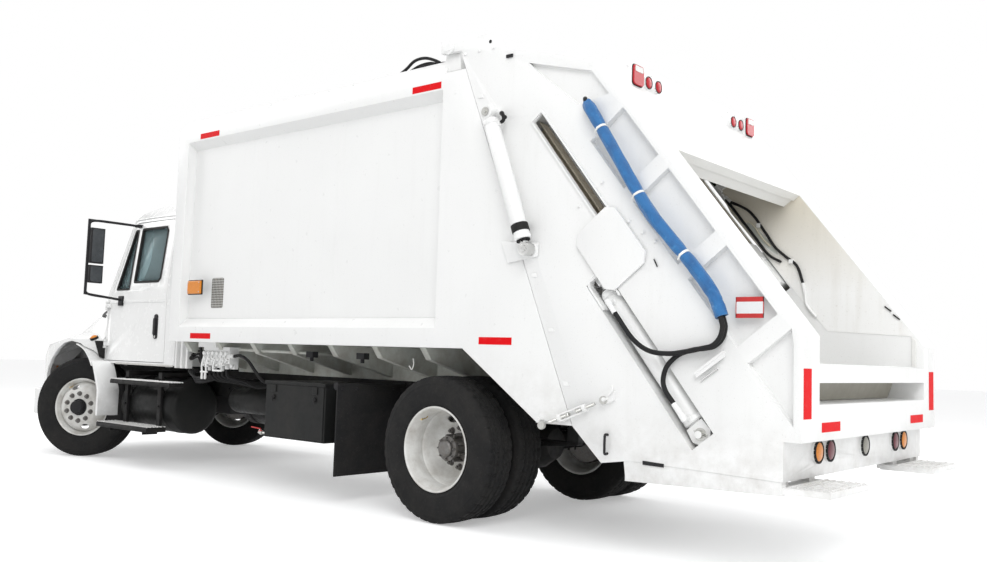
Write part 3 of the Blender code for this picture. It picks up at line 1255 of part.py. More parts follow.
# Columns: distance outboard of the bundle's middle, y, z; first and last points make straight leads
HOSE_HIGH_ROUTE = [
    (0.0165, 2.1968, 1.2894), (0.0165, 2.1368, 1.2733), (0.0165, 2.030, 1.252), (0.0165, 1.918, 1.238),
    (0.012, 1.784, 1.252), (0.003, 1.665, 1.322),
]
HOSE_LOW_ROUTE = [
    (-0.0165, 2.1968, 1.2894), (-0.0165, 2.1368, 1.2733), (-0.0165, 2.058, 1.263), (-0.0165, 1.965, 1.232),
    (-0.013, 1.893, 1.165), (-0.007, 1.872, 1.083), (-0.002, 1.893, 1.020),
]
WRAP_BEND = [(2.2568, 1.3933), (2.2407, 1.3333)]
HOSE_LEAD = 0.015


def through(points, count):
    """The first point, count points on a smooth curve from the second to the last but one, and the last."""
    made = [points[0]]
    for number in range(count):
        place = number / (count - 1) * (len(points) - 3)
        here = min(int(place), len(points) - 4)
        t = place - here
        a, b, c, d = points[here:here + 4]
        made.append(0.5 * (2 * b + (c - a) * t + (2 * a - 5 * b + 4 * c - d) * t * t
                           + (3 * b - a - 3 * c + d) * t * t * t))
    made.append(points[-1])
    return made


def smooth_route(points, count):
    """Points along a smooth curve through the given ones."""
    return through([points[0] * 2 - points[1], *points, points[-1] * 2 - points[-2]], count)[1:-1]


def hose(name, paint, points, radius, parent, pivot):
    curve = bpy.data.curves.new(name, "CURVE")
    curve.dimensions = "3D"
    curve.bevel_depth = radius
    curve.bevel_resolution = 2
    curve.use_fill_caps = True
    line = curve.splines.new("POLY")
    line.points.add(len(points) - 1)
    for place, point in zip(line.points, points):
        place.co = (*(point - Vector(pivot)), 1.0)
    curve.materials.append(paint)
    made = bpy.data.objects.new(name, curve)
    bpy.context.collection.objects.link(made)
    made.parent = parent
    return made


def free_hose(side, bundle, route, fitting_end, down):
    """The way from the wrapped bundle's end to a fitting; down is 1 where it meets the fitting downhill."""
    way = (bundle[-1] - bundle[-2]).normalized()
    start = bundle[-1] + way * SEAT
    start.x += side * route[0][0]
    points = [start, start + way * HOSE_LEAD]
    points += [Vector((start.x, *spot)) for spot in WRAP_BEND]
    points += [Vector((side * (WRAP_X + out), y, z)) for out, y, z in route]
    for back in (HOSE_LEAD, 0.0):
        points.append(Vector((side * WRAP_X, *slope_point(CYLINDER_OUT, fitting_end - down * (SEAT + back)))))
    return points


def hoses(tail, pivot):
    for side, label in ((1, "left"), (-1, "right")):
        bundle = smooth_route([Vector((side * WRAP_X, y, z)) for y, z in WRAP_ROUTE], 14)
        hose(f"hose_wrap_{label}", WRAP_BLUE, bundle, WRAP_RADIUS, tail, pivot)
        high = free_hose(side, bundle, HOSE_HIGH_ROUTE, HIGH_FITTING_END, -1)
        hose(f"hose_upper_{label}", HOSE_BLACK, through(high, 13), HOSE_RADIUS, tail, pivot)
        low = free_hose(side, bundle, HOSE_LOW_ROUTE, LOW_FITTING_END, 1)
        hose(f"hose_lower_{label}", HOSE_BLACK, through(low, 12), HOSE_RADIUS, tail, pivot)


# Assembly
def build():
    front_wheels()
    rear_wheels()
    frame_rails()
    front_bumper()
    front_axle()
    rear_axle()
    engine_block()
    fuel_tanks()
    tool_box()
    cab_steps()
    mud_flaps()
    clear_scratch()
    cab()
    seats()
    dashboard()
    hood()
    clear_scratch()
    body_shell()
    body_subframe()
    valve_bank()
    ejector_panel()
    clear_scratch()
    tail_pivot = TAIL_PIN
    tail = empty("tailgate_hinge", tail_pivot, TRUCK)
    tailgate(tail, tail_pivot)
    slider = packer_carriage(tail, tail_pivot)
    packer_blade(slider, tail_pivot)
    packer_barrels(tail, tail_pivot)
    lift_cylinders(tail, tail_pivot)
    hoses(tail, tail_pivot)
    clear_scratch()


build()
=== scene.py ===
"""The looks of a white rear-loading garbage truck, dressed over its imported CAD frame.

Lengths are metres. Inside this script y is measured from the rear axle, rearwards positive, as in the CAD
source, and every piece is moved into the row frame when it is done. The left side is +X and the cab is at -Y.
"""

import math

import bmesh
import bpy
from mathutils import Matrix, Vector, noise


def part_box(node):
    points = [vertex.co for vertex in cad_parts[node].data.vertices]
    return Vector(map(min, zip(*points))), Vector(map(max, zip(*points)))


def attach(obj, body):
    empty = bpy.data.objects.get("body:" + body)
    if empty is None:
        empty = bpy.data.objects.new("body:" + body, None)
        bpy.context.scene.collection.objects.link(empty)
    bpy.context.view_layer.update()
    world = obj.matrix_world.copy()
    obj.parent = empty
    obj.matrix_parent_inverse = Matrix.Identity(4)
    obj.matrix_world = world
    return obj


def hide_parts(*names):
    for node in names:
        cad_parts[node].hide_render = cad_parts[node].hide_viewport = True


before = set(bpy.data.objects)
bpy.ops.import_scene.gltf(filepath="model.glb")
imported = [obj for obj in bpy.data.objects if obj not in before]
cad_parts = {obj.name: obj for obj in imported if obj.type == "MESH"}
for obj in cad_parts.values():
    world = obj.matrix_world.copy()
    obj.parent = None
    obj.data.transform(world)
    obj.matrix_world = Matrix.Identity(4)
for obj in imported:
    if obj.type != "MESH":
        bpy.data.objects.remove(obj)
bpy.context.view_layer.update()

# Driving dimensions; the first is read from the frame, the others are the CAD source's.
# SEAT is the gap at which a piece lies on another, and SIDES gives the sign of x and the word for each side.
_low, _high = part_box("tyre_rear_left_outer")
REAR_AXLE_Y = (_low.y + _high.y) / 2
TO_ROW = Matrix.Translation((0.0, REAR_AXLE_Y, 0.0))
AXLE_HEIGHT = 0.52
TYRE_RADIUS = 0.5225
HALF_WIDTH = 1.22
FRONT_AXLE_Y = -5.388
KINGPIN_X = 0.88
WHEEL_OUT = 0.15
STEER_LEFT = math.radians(31.4)
STEER_RIGHT = math.radians(26.8)
TWIN_X = 0.897
TWIN_HALF = 0.168
SLOPE = math.radians(51.9)
SLOPE_OUT = 2.955
HIGH_LAMP_Y = 1.4052
CAB_REAR_Y = -3.65
TAIL_REAR = 2.69
HOPPER_WALL = 0.968
CAB_HALF = 1.03
SEAT = 0.0003
SIDES = ((1, "left"), (-1, "right"))


# Materials
class Recipe:
    """One material under construction: a Principled shader and the nodes that feed it."""

    def __init__(self, name, colour, roughness, metallic=0.0, specular=0.5):
        self.material = bpy.data.materials.new(name)
        self.material.use_nodes = True
        self.tree = self.material.node_tree
        self.shader = self.tree.nodes["Principled BSDF"]
        self.shader.inputs["Base Color"].default_value = (*colour, 1.0)
        self.shader.inputs["Roughness"].default_value = roughness
        self.shader.inputs["Metallic"].default_value = metallic
        self.shader.inputs["Specular IOR Level"].default_value = specular
        self.colour = None
        self.base = (*colour, 1.0)
        self.coords = self.tree.nodes.new("ShaderNodeTexCoord").outputs["Object"]

    def stretched(self, scale):
        node = self.tree.nodes.new("ShaderNodeMapping")
        node.inputs["Scale"].default_value = scale
        self.tree.links.new(self.coords, node.inputs["Vector"])
        return node.outputs["Vector"]

    def noise(self, scale, detail=3.0, rough=0.55, coords=None):
        node = self.tree.nodes.new("ShaderNodeTexNoise")
        node.inputs["Scale"].default_value = scale
        node.inputs["Detail"].default_value = detail
        node.inputs["Roughness"].default_value = rough
        self.tree.links.new(coords or self.coords, node.inputs["Vector"])
        return node.outputs["Fac"]

    def cells(self, scale, coords=None, feature="F1", output="Distance"):
        node = self.tree.nodes.new("ShaderNodeTexVoronoi")
        node.feature = feature
        node.inputs["Scale"].default_value = scale
        self.tree.links.new(coords or self.coords, node.inputs["Vector"])
        return node.outputs[output]

    def wave(self, scale, direction="Z", distortion=0.0, coords=None):
        node = self.tree.nodes.new("ShaderNodeTexWave")
        node.bands_direction = direction
        node.inputs["Scale"].default_value = scale
        node.inputs["Distortion"].default_value = distortion
        self.tree.links.new(coords or self.coords, node.inputs["Vector"])
        return node.outputs["Fac"]

    def span(self, value, low, high, to_low=0.0, to_high=1.0):
        node = self.tree.nodes.new("ShaderNodeMapRange")
        node.inputs["From Min"].default_value = low
        node.inputs["From Max"].default_value = high
        node.inputs["To Min"].default_value = to_low
        node.inputs["To Max"].default_value = to_high
        self.tree.links.new(value, node.inputs["Value"])
        return node.outputs["Result"]

    def axis(self, name):
        node = self.tree.nodes.new("ShaderNodeSeparateXYZ")
        self.tree.links.new(self.coords, node.inputs["Vector"])
        return node.outputs[name]

    def maths(self, operation, first, second):
        node = self.tree.nodes.new("ShaderNodeMath")
        node.operation = operation
        node.use_clamp = True
        for socket, value in zip(node.inputs, (first, second)):
            if isinstance(value, (int, float)):
                socket.default_value = value
            else:
                self.tree.links.new(value, socket)
        return node.outputs["Value"]

    def tint(self, factor, colour):
        """Lays a colour over what is there, as strongly as factor says."""
        node = self.tree.nodes.new("ShaderNodeMix")
        node.data_type = "RGBA"
        first, second = node.inputs[6], node.inputs[7]
        if self.colour is None:
            first.default_value = self.base
        else:
            self.tree.links.new(self.colour, first)
        second.default_value = (*colour, 1.0)
        if isinstance(factor, (int, float)):
            node.inputs[0].default_value = factor
        else:
            self.tree.links.new(factor, node.inputs[0])
        self.colour = node.outputs[2]
        return self

    def patches(self, noise_value, low, high, amount, colour):
        """Lays a colour over the places where a noise is strong."""
        return self.tint(self.span(noise_value, low, high, 0.0, amount), colour)

    def uneven(self, noise_value, low, high):
        """Lets the roughness wander between two values."""
        return self.rough(self.span(noise_value, 0.3, 0.7, low, high))

    def rough(self, value):
        self.tree.links.new(value, self.shader.inputs["Roughness"])
        return self

    def bump(self, height, distance, strength=1.0):
        node = self.tree.nodes.new("ShaderNodeBump")
        node.inputs["Distance"].default_value = distance
        node.inputs["Strength"].default_value = strength
        self.tree.links.new(height, node.inputs["Height"])
        before = self.shader.inputs["Normal"]
        if before.is_linked:
            self.tree.links.new(before.links[0].from_socket, node.inputs["Normal"])
        self.tree.links.new(node.outputs["Normal"], before)
        return self

    def done(self):
        if self.colour is not None:
            self.tree.links.new(self.colour, self.shader.inputs["Base Color"])
        return self.material


def painted(name, colour, roughness, grime, grime_top, panels=1.0, coat=0.0):
    """Sprayed sheet metal: slow colour drift, runs of dust, grime up to a height, a slightly wavy skin."""
    made = Recipe(name, colour, roughness)
    made.patches(made.noise(0.9, 2.0), 0.35, 0.7, 0.35 * panels, [channel * 0.93 for channel in colour])
    runs = made.noise(5.0, 4.0, 0.6, made.stretched((3.0, 3.0, 0.35)))
    made.patches(runs, 0.55, 0.8, 0.10 * grime, (0.42, 0.40, 0.36))
    low = made.span(made.axis("Z"), grime_top, grime_top - 0.45, 0.0, 1.0)
    patchy = made.span(made.noise(7.0, 6.0, 0.65), 0.38, 0.72, 0.0, 0.55 * grime)
    made.tint(made.maths("MULTIPLY", low, patchy), (0.30, 0.27, 0.23))
    made.patches(made.noise(120.0, 2.0), 0.66, 0.74, 0.35 * grime, (0.36, 0.34, 0.31))
    made.uneven(made.noise(16.0, 4.0), roughness - 0.07, roughness + 0.10)
    made.bump(made.noise(1.7, 1.0), 0.010 * panels, 0.35)
    made.bump(made.noise(420.0, 1.0), 0.00015, 0.4)
    made.shader.inputs["Coat Weight"].default_value = coat
    made.shader.inputs["Coat Roughness"].default_value = 0.12
    return made.done()


def dusty_black(name, colour, roughness, dust=0.35, scale=9.0):
    made = Recipe(name, colour, roughness, specular=0.12)
    made.patches(made.noise(scale, 6.0, 0.7), 0.42, 0.75, dust, (0.050, 0.046, 0.040))
    made.patches(made.noise(160.0, 2.0), 0.62, 0.72, dust * 0.35, (0.09, 0.083, 0.073))
    made.uneven(made.noise(22.0, 4.0), roughness - 0.12, roughness + 0.15)
    made.bump(made.noise(240.0, 3.0), 0.0004, 0.5)
    return made.done()


def rubber(name, colour, roughness, dust):
    made = Recipe(name, colour, roughness, specular=0.10)
    made.patches(made.noise(6.0, 5.0, 0.65), 0.4, 0.75, dust, (0.050, 0.047, 0.042))
    made.patches(made.noise(90.0, 3.0), 0.6, 0.75, dust * 0.6, (0.11, 0.10, 0.09))
    made.uneven(made.noise(40.0, 3.0), roughness - 0.08, min(1.0, roughness + 0.08))
    made.bump(made.noise(520.0, 2.0), 0.0003, 0.6)
    return made.done()


def metal(name, colour, roughness, scratch=0.15):
    made = Recipe(name, colour, roughness, metallic=1.0)
    made.patches(made.noise(35.0, 5.0, 0.7), 0.45, 0.8, scratch, (0.16, 0.13, 0.10))
    made.uneven(made.noise(60.0, 4.0), max(0.05, roughness - 0.08), roughness + 0.15)
    made.bump(made.noise(300.0, 3.0), 0.0002, 0.4)
    return made.done()


def lens(name, colour):
    """Moulded lens plastic with its ribs and prisms inside."""
    made = Recipe(name, colour, 0.30, specular=0.25)
    made.tint(made.span(made.cells(160.0), 0.1, 0.6, 0.45, 0.0), [channel * 0.35 for channel in colour])
    made.bump(made.cells(160.0), 0.0012, 0.6)
    made.shader.inputs["Coat Weight"].default_value = 0.25
    made.shader.inputs["Coat Roughness"].default_value = 0.06
    return made.done()


def tape(name, colour):
    """Retroreflective sheeting with its fine cells under a clear film."""
    made = Recipe(name, colour, 0.5, specular=0.08)
    made.tint(made.span(made.cells(280.0, None, "DISTANCE_TO_EDGE"), 0.0, 0.08, 0.35, 0.0),
              [min(1.0, channel * 1.2 + 0.01) for channel in colour])
    made.patches(made.noise(30.0, 5.0), 0.55, 0.8, 0.15, (0.30, 0.22, 0.2))
    made.bump(made.cells(280.0), 0.0002, 0.5)
    return made.done()


def woven(name, colour, dark):
    """A woven nylon sleeve: fine crossing threads, folds darkened as painted shade and lighter blue patches as painted
    highlights.
    """
    made = Recipe(name, colour, 0.62)
    weft = made.wave(190.0, "X")
    warp = made.wave(190.0, "Z")
    weave = made.maths("MULTIPLY", weft, warp)
    made.tint(made.span(weave, 0.0, 0.6, 0.35, 0.0), dark)
    # Darker folds: painted shade on their shaded sides
    fold_shade = made.noise(9.0, 5.0, 0.65, made.stretched((3.0, 1.0, 1.0)))
    made.patches(fold_shade, 0.45, 0.75, 0.75, dark)
    # Lighter blue patches: painted highlights
    made.patches(made.noise(22.0, 4.0), 0.60, 0.75, 0.40, (0.09, 0.34, 0.62))
    made.bump(weave, 0.0008, 0.6)
    made.bump(made.noise(26.0, 4.0), 0.006, 0.5)
    made.shader.inputs["Sheen Weight"].default_value = 0.25
    return made.done()


def chequered(name):
    """A grip patch of small dark and pale diamonds."""
    made = Recipe(name, (0.42, 0.42, 0.40), 0.55)
    turned_coords = made.tree.nodes.new("ShaderNodeMapping")
    turned_coords.inputs["Rotation"].default_value = (math.radians(45), 0.0, 0.0)
    made.tree.links.new(made.coords, turned_coords.inputs["Vector"])
    grid = made.tree.nodes.new("ShaderNodeTexChecker")
    grid.inputs["Scale"].default_value = 62.0
    made.tree.links.new(turned_coords.outputs["Vector"], grid.inputs["Vector"])
    made.tint(grid.outputs["Fac"], (0.10, 0.095, 0.085))
    made.patches(made.noise(30.0, 4.0), 0.5, 0.8, 0.4, (0.30, 0.25, 0.18))
    made.bump(grid.outputs["Fac"], 0.0008, 0.6)
    return made.done()


def hopper_liner(name):
    """The hopper's wall liners: white low down, tan higher up as painted shade under the lip with some dirt, streaked
    downwards.
    """
    made = Recipe(name, (0.88, 0.88, 0.87), 0.42)
    # The tan tint higher up is painted shade under the hopper's lip
    high = made.span(made.axis("Z"), 1.75, 2.45, 0.0, 0.85)
    made.tint(high, (0.62, 0.57, 0.46))
    runs = made.noise(4.0, 5.0, 0.6, made.stretched((3.0, 3.0, 0.3)))
    made.patches(runs, 0.5, 0.8, 0.25, (0.55, 0.52, 0.45))
    made.patches(made.noise(70.0, 3.0), 0.62, 0.75, 0.25, (0.40, 0.37, 0.31))
    made.uneven(made.noise(14.0, 4.0), 0.34, 0.55)
    made.bump(made.noise(2.2, 1.0), 0.008, 0.35)
    return made.done()


def clear_glass(name, colour):
    made = Recipe(name, colour, 0.04, specular=0.6)
    made.shader.inputs["Transmission Weight"].default_value = 0.75
    made.shader.inputs["IOR"].default_value = 1.12
    # Lighter patches in the glass colour: painted reflections
    made.patches(made.noise(3.0, 3.0), 0.4, 0.8, 0.3, [min(1.0, channel * 1.3) for channel in colour])
    made.rough(made.span(made.noise(18.0, 4.0), 0.4, 0.8, 0.03, 0.16))
    return made.done()


def grained(name, colour, roughness, scale=260.0):
    """Moulded or grained plastic and vinyl."""
    made = Recipe(name, colour, roughness)
    made.patches(made.noise(12.0, 4.0), 0.4, 0.8, 0.4, [channel * 1.6 + 0.01 for channel in colour])
    made.bump(made.cells(scale), 0.0006, 0.6)
    made.uneven(made.noise(30.0, 3.0), roughness - 0.08, roughness + 0.08)
    return made.done()


BODY_WHITE = painted("body_white", (0.815, 0.818, 0.812), 0.34, 0.5, 1.25, coat=0.15)
TAIL_WHITE = painted("tail_white", (0.815, 0.818, 0.812), 0.36, 0.7, 0.95, coat=0.1)
CAB_WHITE = painted("cab_white", (0.815, 0.818, 0.812), 0.22, 0.4, 0.95, panels=0.4, coat=0.5)
HOPPER_WHITE = painted("hopper_white", (0.80, 0.80, 0.78), 0.42, 0.9, 1.5)
TROUGH_GREY = painted("trough_grey", (0.78, 0.78, 0.76), 0.45, 1.0, 1.8)
UNDER_GREY = painted("underside_grey", (0.52, 0.54, 0.50), 0.55, 1.4, 1.6)
RIM_WHITE = painted("rim_white", (0.72, 0.72, 0.70), 0.42, 1.1, 1.3)
# Tan that stands for white paint in shade: painted shade in the trunnion slots and under the hopper's lip
TAN_PAINTED_SHADE = painted("tan_painted_shade", (0.80, 0.72, 0.58), 0.5, 0.5, 4.0)
LINER_WITH_PAINTED_SHADE = hopper_liner("hopper_liner")
SLOT_PAINTED_SHADE = painted("slot_painted_shade", (0.40, 0.385, 0.33), 0.5, 1.0, 4.0)
FRAME_BLACK = dusty_black("frame_black", (0.012, 0.012, 0.0125), 0.5, 0.40)
TANK_BLACK = dusty_black("tank_black", (0.014, 0.0145, 0.0145), 0.40, 0.20, 4.0)
PLASTIC_BLACK = dusty_black("plastic_black", (0.022, 0.022, 0.024), 0.45, 0.2)
TYRE_RUBBER = rubber("tyre_rubber_look", (0.017, 0.017, 0.0175), 0.78, 0.30)
FLAP_RUBBER = rubber("flap_rubber", (0.02, 0.02, 0.021), 0.7, 0.35)
HOSE_RUBBER = rubber("hose_rubber", (0.018, 0.018, 0.019), 0.5, 0.18)
SEAL_RUBBER = rubber("seal_rubber", (0.02, 0.02, 0.02), 0.6, 0.12)
POLISHED = metal("polished_rod", (0.62, 0.62, 0.61), 0.16, 0.08)
ZINC = metal("zinc_plate", (0.52, 0.52, 0.50), 0.34, 0.35)
CAST_GREY = metal("cast_grey", (0.20, 0.195, 0.19), 0.6, 0.6)
TREAD_METAL = metal("tread_metal", (0.78, 0.78, 0.77), 0.38, 0.2)
CHEQUER = chequered("chequer_patch")
BRASS = metal("brass", (0.60, 0.45, 0.20), 0.35, 0.3)
# Dark mirror glass: painted reflection of dark surroundings
MIRROR_PAINTED_REFLECTION = grained("mirror_face", (0.045, 0.050, 0.055), 0.14, 900.0)
RED_LENS = lens("red_lens", (0.44, 0.006, 0.014))
DARK_LENS = lens("dark_red_lens", (0.13, 0.010, 0.022))
SMOKE_LENS = lens("smoke_lens", (0.27, 0.26, 0.225))
AMBER_LENS = lens("amber_lens", (0.72, 0.24, 0.02))
CLEAR_LENS = lens("clear_lens", (0.66, 0.66, 0.64))
RED_TAPE = tape("red_tape", (0.68, 0.004, 0.008))
WHITE_TAPE = tape("white_tape", (0.72, 0.73, 0.74))
WRAP_BLUE = woven("wrap_blue", (0.008, 0.150, 0.400), (0.002, 0.055, 0.190))
TIE_WHITE = grained("tie_white", (0.75, 0.75, 0.72), 0.4, 600.0)
CREAM_HOSE = grained("cream_hose", (0.62, 0.58, 0.45), 0.5, 400.0)
RED_PAINT = grained("red_paint", (0.45, 0.02, 0.02), 0.4, 400.0)
CAB_GLASS = clear_glass("cab_glass_look", (0.50, 0.62, 0.64))
SEAT_VINYL = grained("seat_vinyl_look", (0.06, 0.062, 0.068), 0.55, 320.0)
DASH_GRAIN = grained("dash_grain", (0.075, 0.075, 0.08), 0.55, 420.0)
ENGINE_GREY = dusty_black("engine_grey", (0.05, 0.05, 0.052), 0.5, 0.5)


# Shapes
def turns(count, phase=0.0):
    """Angles evenly round a circle."""
    return [2 * math.pi * (step + phase) / count for step in range(count)]


def spokes(count, phase=0.0):
    """Unit vectors evenly round the x axis."""
    return [Vector((0.0, math.cos(angle), math.sin(angle))) for angle in turns(count, phase)]


class Piece:
    """Shapes gathered into one mesh, which rides on one body when it is done."""

    def __init__(self, name, paint, body, bevel=0.0, smooth=30.0, bevel_steps=2):
        self.name, self.paint, self.body = name, paint, body
        self.bevel, self.smooth, self.bevel_steps = bevel, smooth, bevel_steps
        self.bm = bmesh.new()

    def ring(self, points):
        return [self.bm.verts.new(point) for point in points]

    def skin(self, rings, ends="cap"):
        """Bands of faces from each ring of vertices to the next; the ends are to "cap", to "join" or left "open".

        A ring of a single vertex is a pole.
        """
        made = [self.bm.faces.new(rings[0]), self.bm.faces.new(rings[-1][::-1])] if ends == "cap" else []
        for first, second in zip(rings, rings[1:] + (rings[:1] if ends == "join" else [])):
            count = max(len(first), len(second))
            for here in range(count if count > 1 else 0):
                corners = [ring[spot % len(ring)] for ring, spot in
                           ((first, here), (first, here + 1), (second, here + 1), (second, here))]
                made.append(self.bm.faces.new(list(dict.fromkeys(corners))))
        bmesh.ops.recalc_face_normals(self.bm, faces=made)
        return self

    def prism(self, axis, low, high, outline):
        """An outline in the two other axes, in x, y, z order, drawn out along axis."""
        index = "xyz".index(axis)
        rings = []
        for level in sorted((low, high)):
            points = [list(pair) for pair in outline]
            for point in points:
                point.insert(index, level)
            rings.append(self.ring(points))
        return self.skin(rings)

    def box(self, x0, x1, y0, y1, z0, z1):
        return self.prism("x", x0, x1, [(y0, z0), (y1, z0), (y1, z1), (y0, z1)])

    def block(self, corner, u, v, w):
        """A box spanned by three vectors from a corner."""
        corner, u, v, w = Vector(corner), Vector(u), Vector(v), Vector(w)
        low = [corner, corner + u, corner + u + v, corner + v]
        return self.skin([self.ring(low), self.ring([point + w for point in low])])

    def turned(self, profile, centre, along=(1.0, 0.0, 0.0), steps=24, phase=0.5):
        """(radius, distance) points turned about an axis; a profile with an end off the axis is closed."""
        turn = Vector((0.0, 0.0, 1.0)).rotation_difference(Vector(along)).to_matrix()
        rings = []
        for radius, reach in profile:
            around = turns(steps, phase) if radius else [0.0]
            rings.append(self.ring([Vector(centre) + turn @ Vector((radius * math.cos(a), radius * math.sin(a), reach))
                                    for a in around]))
        return self.skin(rings, "join" if profile[0][0] or profile[-1][0] else "open")

    def rod(self, start, end, radius, steps=16, chamfer=0.0):
        way = Vector(end) - Vector(start)
        reach = way.length
        profile = [(radius, 0.0), (radius, reach)]
        if chamfer:
            profile = [(radius - chamfer, 0.0), (radius, chamfer), (radius, reach - chamfer), (radius - chamfer, reach)]
        return self.turned([(0.0, 0.0), *profile, (0.0, reach)], start, way, steps)

    def bolt(self, place, normal, size=0.012, washer=True):
        """A hexagon head on its washer; size is the head's radius."""
        normal = Vector(normal).normalized()
        place = Vector(place)
        if washer:
            self.turned([(0.0, 0.0), (size * 1.45, 0.0), (size * 1.45, size * 0.18), (0.0, size * 0.18)],
                        place, normal, 14)
        self.turned([(0.0, 0.0), (size, 0.0), (size, size * 0.85), (size * 0.85, size), (0.0, size)],
                    place + normal * size * 0.15, normal, 6)
        return self

    def tube(self, route, radius, count=None, steps=10, smooth=True):
        """A round tube along a route, with rounded corners if smooth."""
        points = [Vector(point) for point in route]
        if smooth and len(points) > 2:
            points = smooth_route(points, count or len(points) * 6)
        side, rings = None, []
        for here, point in enumerate(points):
            way = (points[min(here + 1, len(points) - 1)] - points[max(here - 1, 0)]).normalized()
            side = (side - way * side.dot(way) if here else way.orthogonal()).normalized()
            other = way.cross(side)
            rings.append(self.ring([point + (side * math.cos(angle) + other * math.sin(angle)) * radius
                                    for angle in turns(steps)]))
        return self.skin(rings)

    def moved(self, matrix):
        bmesh.ops.transform(self.bm, matrix=matrix, verts=self.bm.verts)
        return self

    def done(self, replaces=()):
        mesh = bpy.data.meshes.new(self.name)
        self.bm.transform(TO_ROW)
        self.bm.to_mesh(mesh)
        self.bm.free()
        mesh.materials.append(self.paint)
        made = bpy.data.objects.new(self.name, mesh)
        bpy.context.collection.objects.link(made)
        finish_edges(made, self.bevel, self.smooth, self.bevel_steps)
        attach(made, self.body)
        if replaces:
            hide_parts(*replaces)
        return made


def smooth_route(points, count):
    """Points along a smooth curve through the given ones."""
    ends = [points[0] * 2 - points[1], *points, points[-1] * 2 - points[-2]]
    made = []
    for number in range(count):
        place = number / (count - 1) * (len(points) - 1)
        here = min(int(place), len(points) - 2)
        t = place - here
        a, b, c, d = ends[here:here + 4]
        made.append(0.5 * (2 * b + (c - a) * t + (2 * a - 5 * b + 4 * c - d) * t * t
                           + (3 * b - a - 3 * c + d) * t * t * t))
    return made


def finish_edges(obj, bevel, smooth, steps=2):
    """Rounds the sharp edges by a modifier and shades what bends gently as smooth."""
    if bevel:
        rounder = obj.modifiers.new("rounded", "BEVEL")
        rounder.width = bevel
        rounder.segments = steps
        rounder.limit_method = "ANGLE"
        rounder.angle_limit = math.radians(28)
        rounder.harden_normals = True
    obj.data.shade_smooth()
    obj.data.set_sharp_from_angle(angle=math.radians(smooth))


def slope_point(out, down):
    """(y, z) on the tailgate's slope: out from it and down along it."""
    return (out * math.sin(SLOPE) + down * math.cos(SLOPE), out * math.cos(SLOPE) - down * math.sin(SLOPE))


SLOPE_NORMAL = Vector((0.0, math.sin(SLOPE), math.cos(SLOPE)))
SLOPE_DOWN = Vector((0.0, math.cos(SLOPE), -math.sin(SLOPE)))


# The CAD nodes keep their shapes; they get rounded edges and a finish
# Columns: material, bevel width, nodes; a * stands for left and right
CAD_LOOKS = [
    (BODY_WHITE, 0.006, "body_shell"),
    (TAIL_WHITE, 0.005, "tailgate_shell"),
    (CAB_WHITE, 0.010, "cab_shell"),
    (CAB_WHITE, 0.006, "door_*"),
    (CAB_WHITE, 0.012, "hood front_bumper"),
    (PLASTIC_BLACK, 0.003, "grille"),
    (PLASTIC_BLACK, 0.006, "mirror_*"),
    (CAB_GLASS, 0.0, "windshield rear_window door_glass_*"),
    (DASH_GRAIN, 0.008, "dashboard"),
    (FRAME_BLACK, 0.003, "frame_rails"),
    (FRAME_BLACK, 0.006, "front_axle rear_axle"),
    (ENGINE_GREY, 0.010, "engine_block"),
    (TANK_BLACK, 0.004, "fuel_tank_*"),
    (TANK_BLACK, 0.008, "tool_box"),
    (FRAME_BLACK, 0.004, "steps_*"),
    (FLAP_RUBBER, 0.003, "mudflap_front_*"),
    (CAST_GREY, 0.004, "knuckle_*"),
    (UNDER_GREY, 0.004, "body_subframe"),
    (HOPPER_WHITE, 0.006, "ejector_panel"),
    (TAIL_WHITE, 0.004, "packer_carriage"),
    (HOPPER_WHITE, 0.005, "packer_blade"),
    (TAIL_WHITE, 0.003, "packer_barrel_* lift_barrel_*"),
    (POLISHED, 0.002, "lift_rod_*"),
]


def dress_nodes():
    """Gives each kept CAD node its material; duplicate points and flat facets are joined by modifiers."""
    looks = [(name.replace("*", label), paint, bevel) for paint, bevel, names in CAD_LOOKS
             for name in names.split() for label in (("left", "right") if "*" in name else ("",))]
    for name, paint, bevel in looks:
        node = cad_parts[name]
        node.data.materials.clear()
        node.data.materials.append(paint)
        joined = node.modifiers.new("joined", "WELD")
        joined.merge_threshold = 0.0001
        flat = node.modifiers.new("flat", "DECIMATE")
        flat.decimate_type = "DISSOLVE"
        flat.angle_limit = math.radians(0.6)
        finish_edges(node, bevel, 32.0)


# Wheels: each is made about its own centre with its outside at +X
def wheel_places():
    """(label, body, matrix from the wheel's own frame) of the two steered wheels and the four rear ones."""
    places = []
    for side, steer, label in ((1, STEER_LEFT, "left"), (-1, STEER_RIGHT, "right")):
        turn = Matrix.Rotation(steer + (0.0 if side > 0 else math.pi), 4, "Z")
        pin = Matrix.Translation((side * KINGPIN_X, FRONT_AXLE_Y, AXLE_HEIGHT))
        places.append((f"front_{label}", f"wheel_front_{label}", pin @ turn @ Matrix.Translation((WHEEL_OUT, 0, 0))))
    for side, label in SIDES:
        turn = Matrix.Rotation(0.0 if side > 0 else math.pi, 4, "Z")
        centre = Matrix.Translation((side * TWIN_X, 0.0, AXLE_HEIGHT))
        for name, shift in (("outer", TWIN_HALF), ("inner", -TWIN_HALF)):
            places.append((f"rear_{label}_{name}", f"wheels_rear_{label}",
                           centre @ turn @ Matrix.Translation((shift, 0, 0))))
    return places


# Columns: radius, distance from the tyre's middle plane
SIDEWALL = [
    (0.288, 0.100), (0.296, 0.112), (0.306, 0.117), (0.312, 0.117), (0.318, 0.122), (0.330, 0.130),
    (0.336, 0.1345), (0.341, 0.1345), (0.350, 0.1365), (0.375, 0.1390), (0.400, 0.1400), (0.425, 0.1398),
    (0.445, 0.1385), (0.462, 0.1365), (0.4665, 0.1375), (0.4705, 0.1350), (0.486, 0.1325), (0.498, 0.1290),
    (0.508, 0.1240), (0.5150, 0.1170),
]
TREAD_EDGE = 0.108
TREAD_COLUMNS = 33
TYRE_TURNS = 240
STUD_CIRCLE = 0.1425


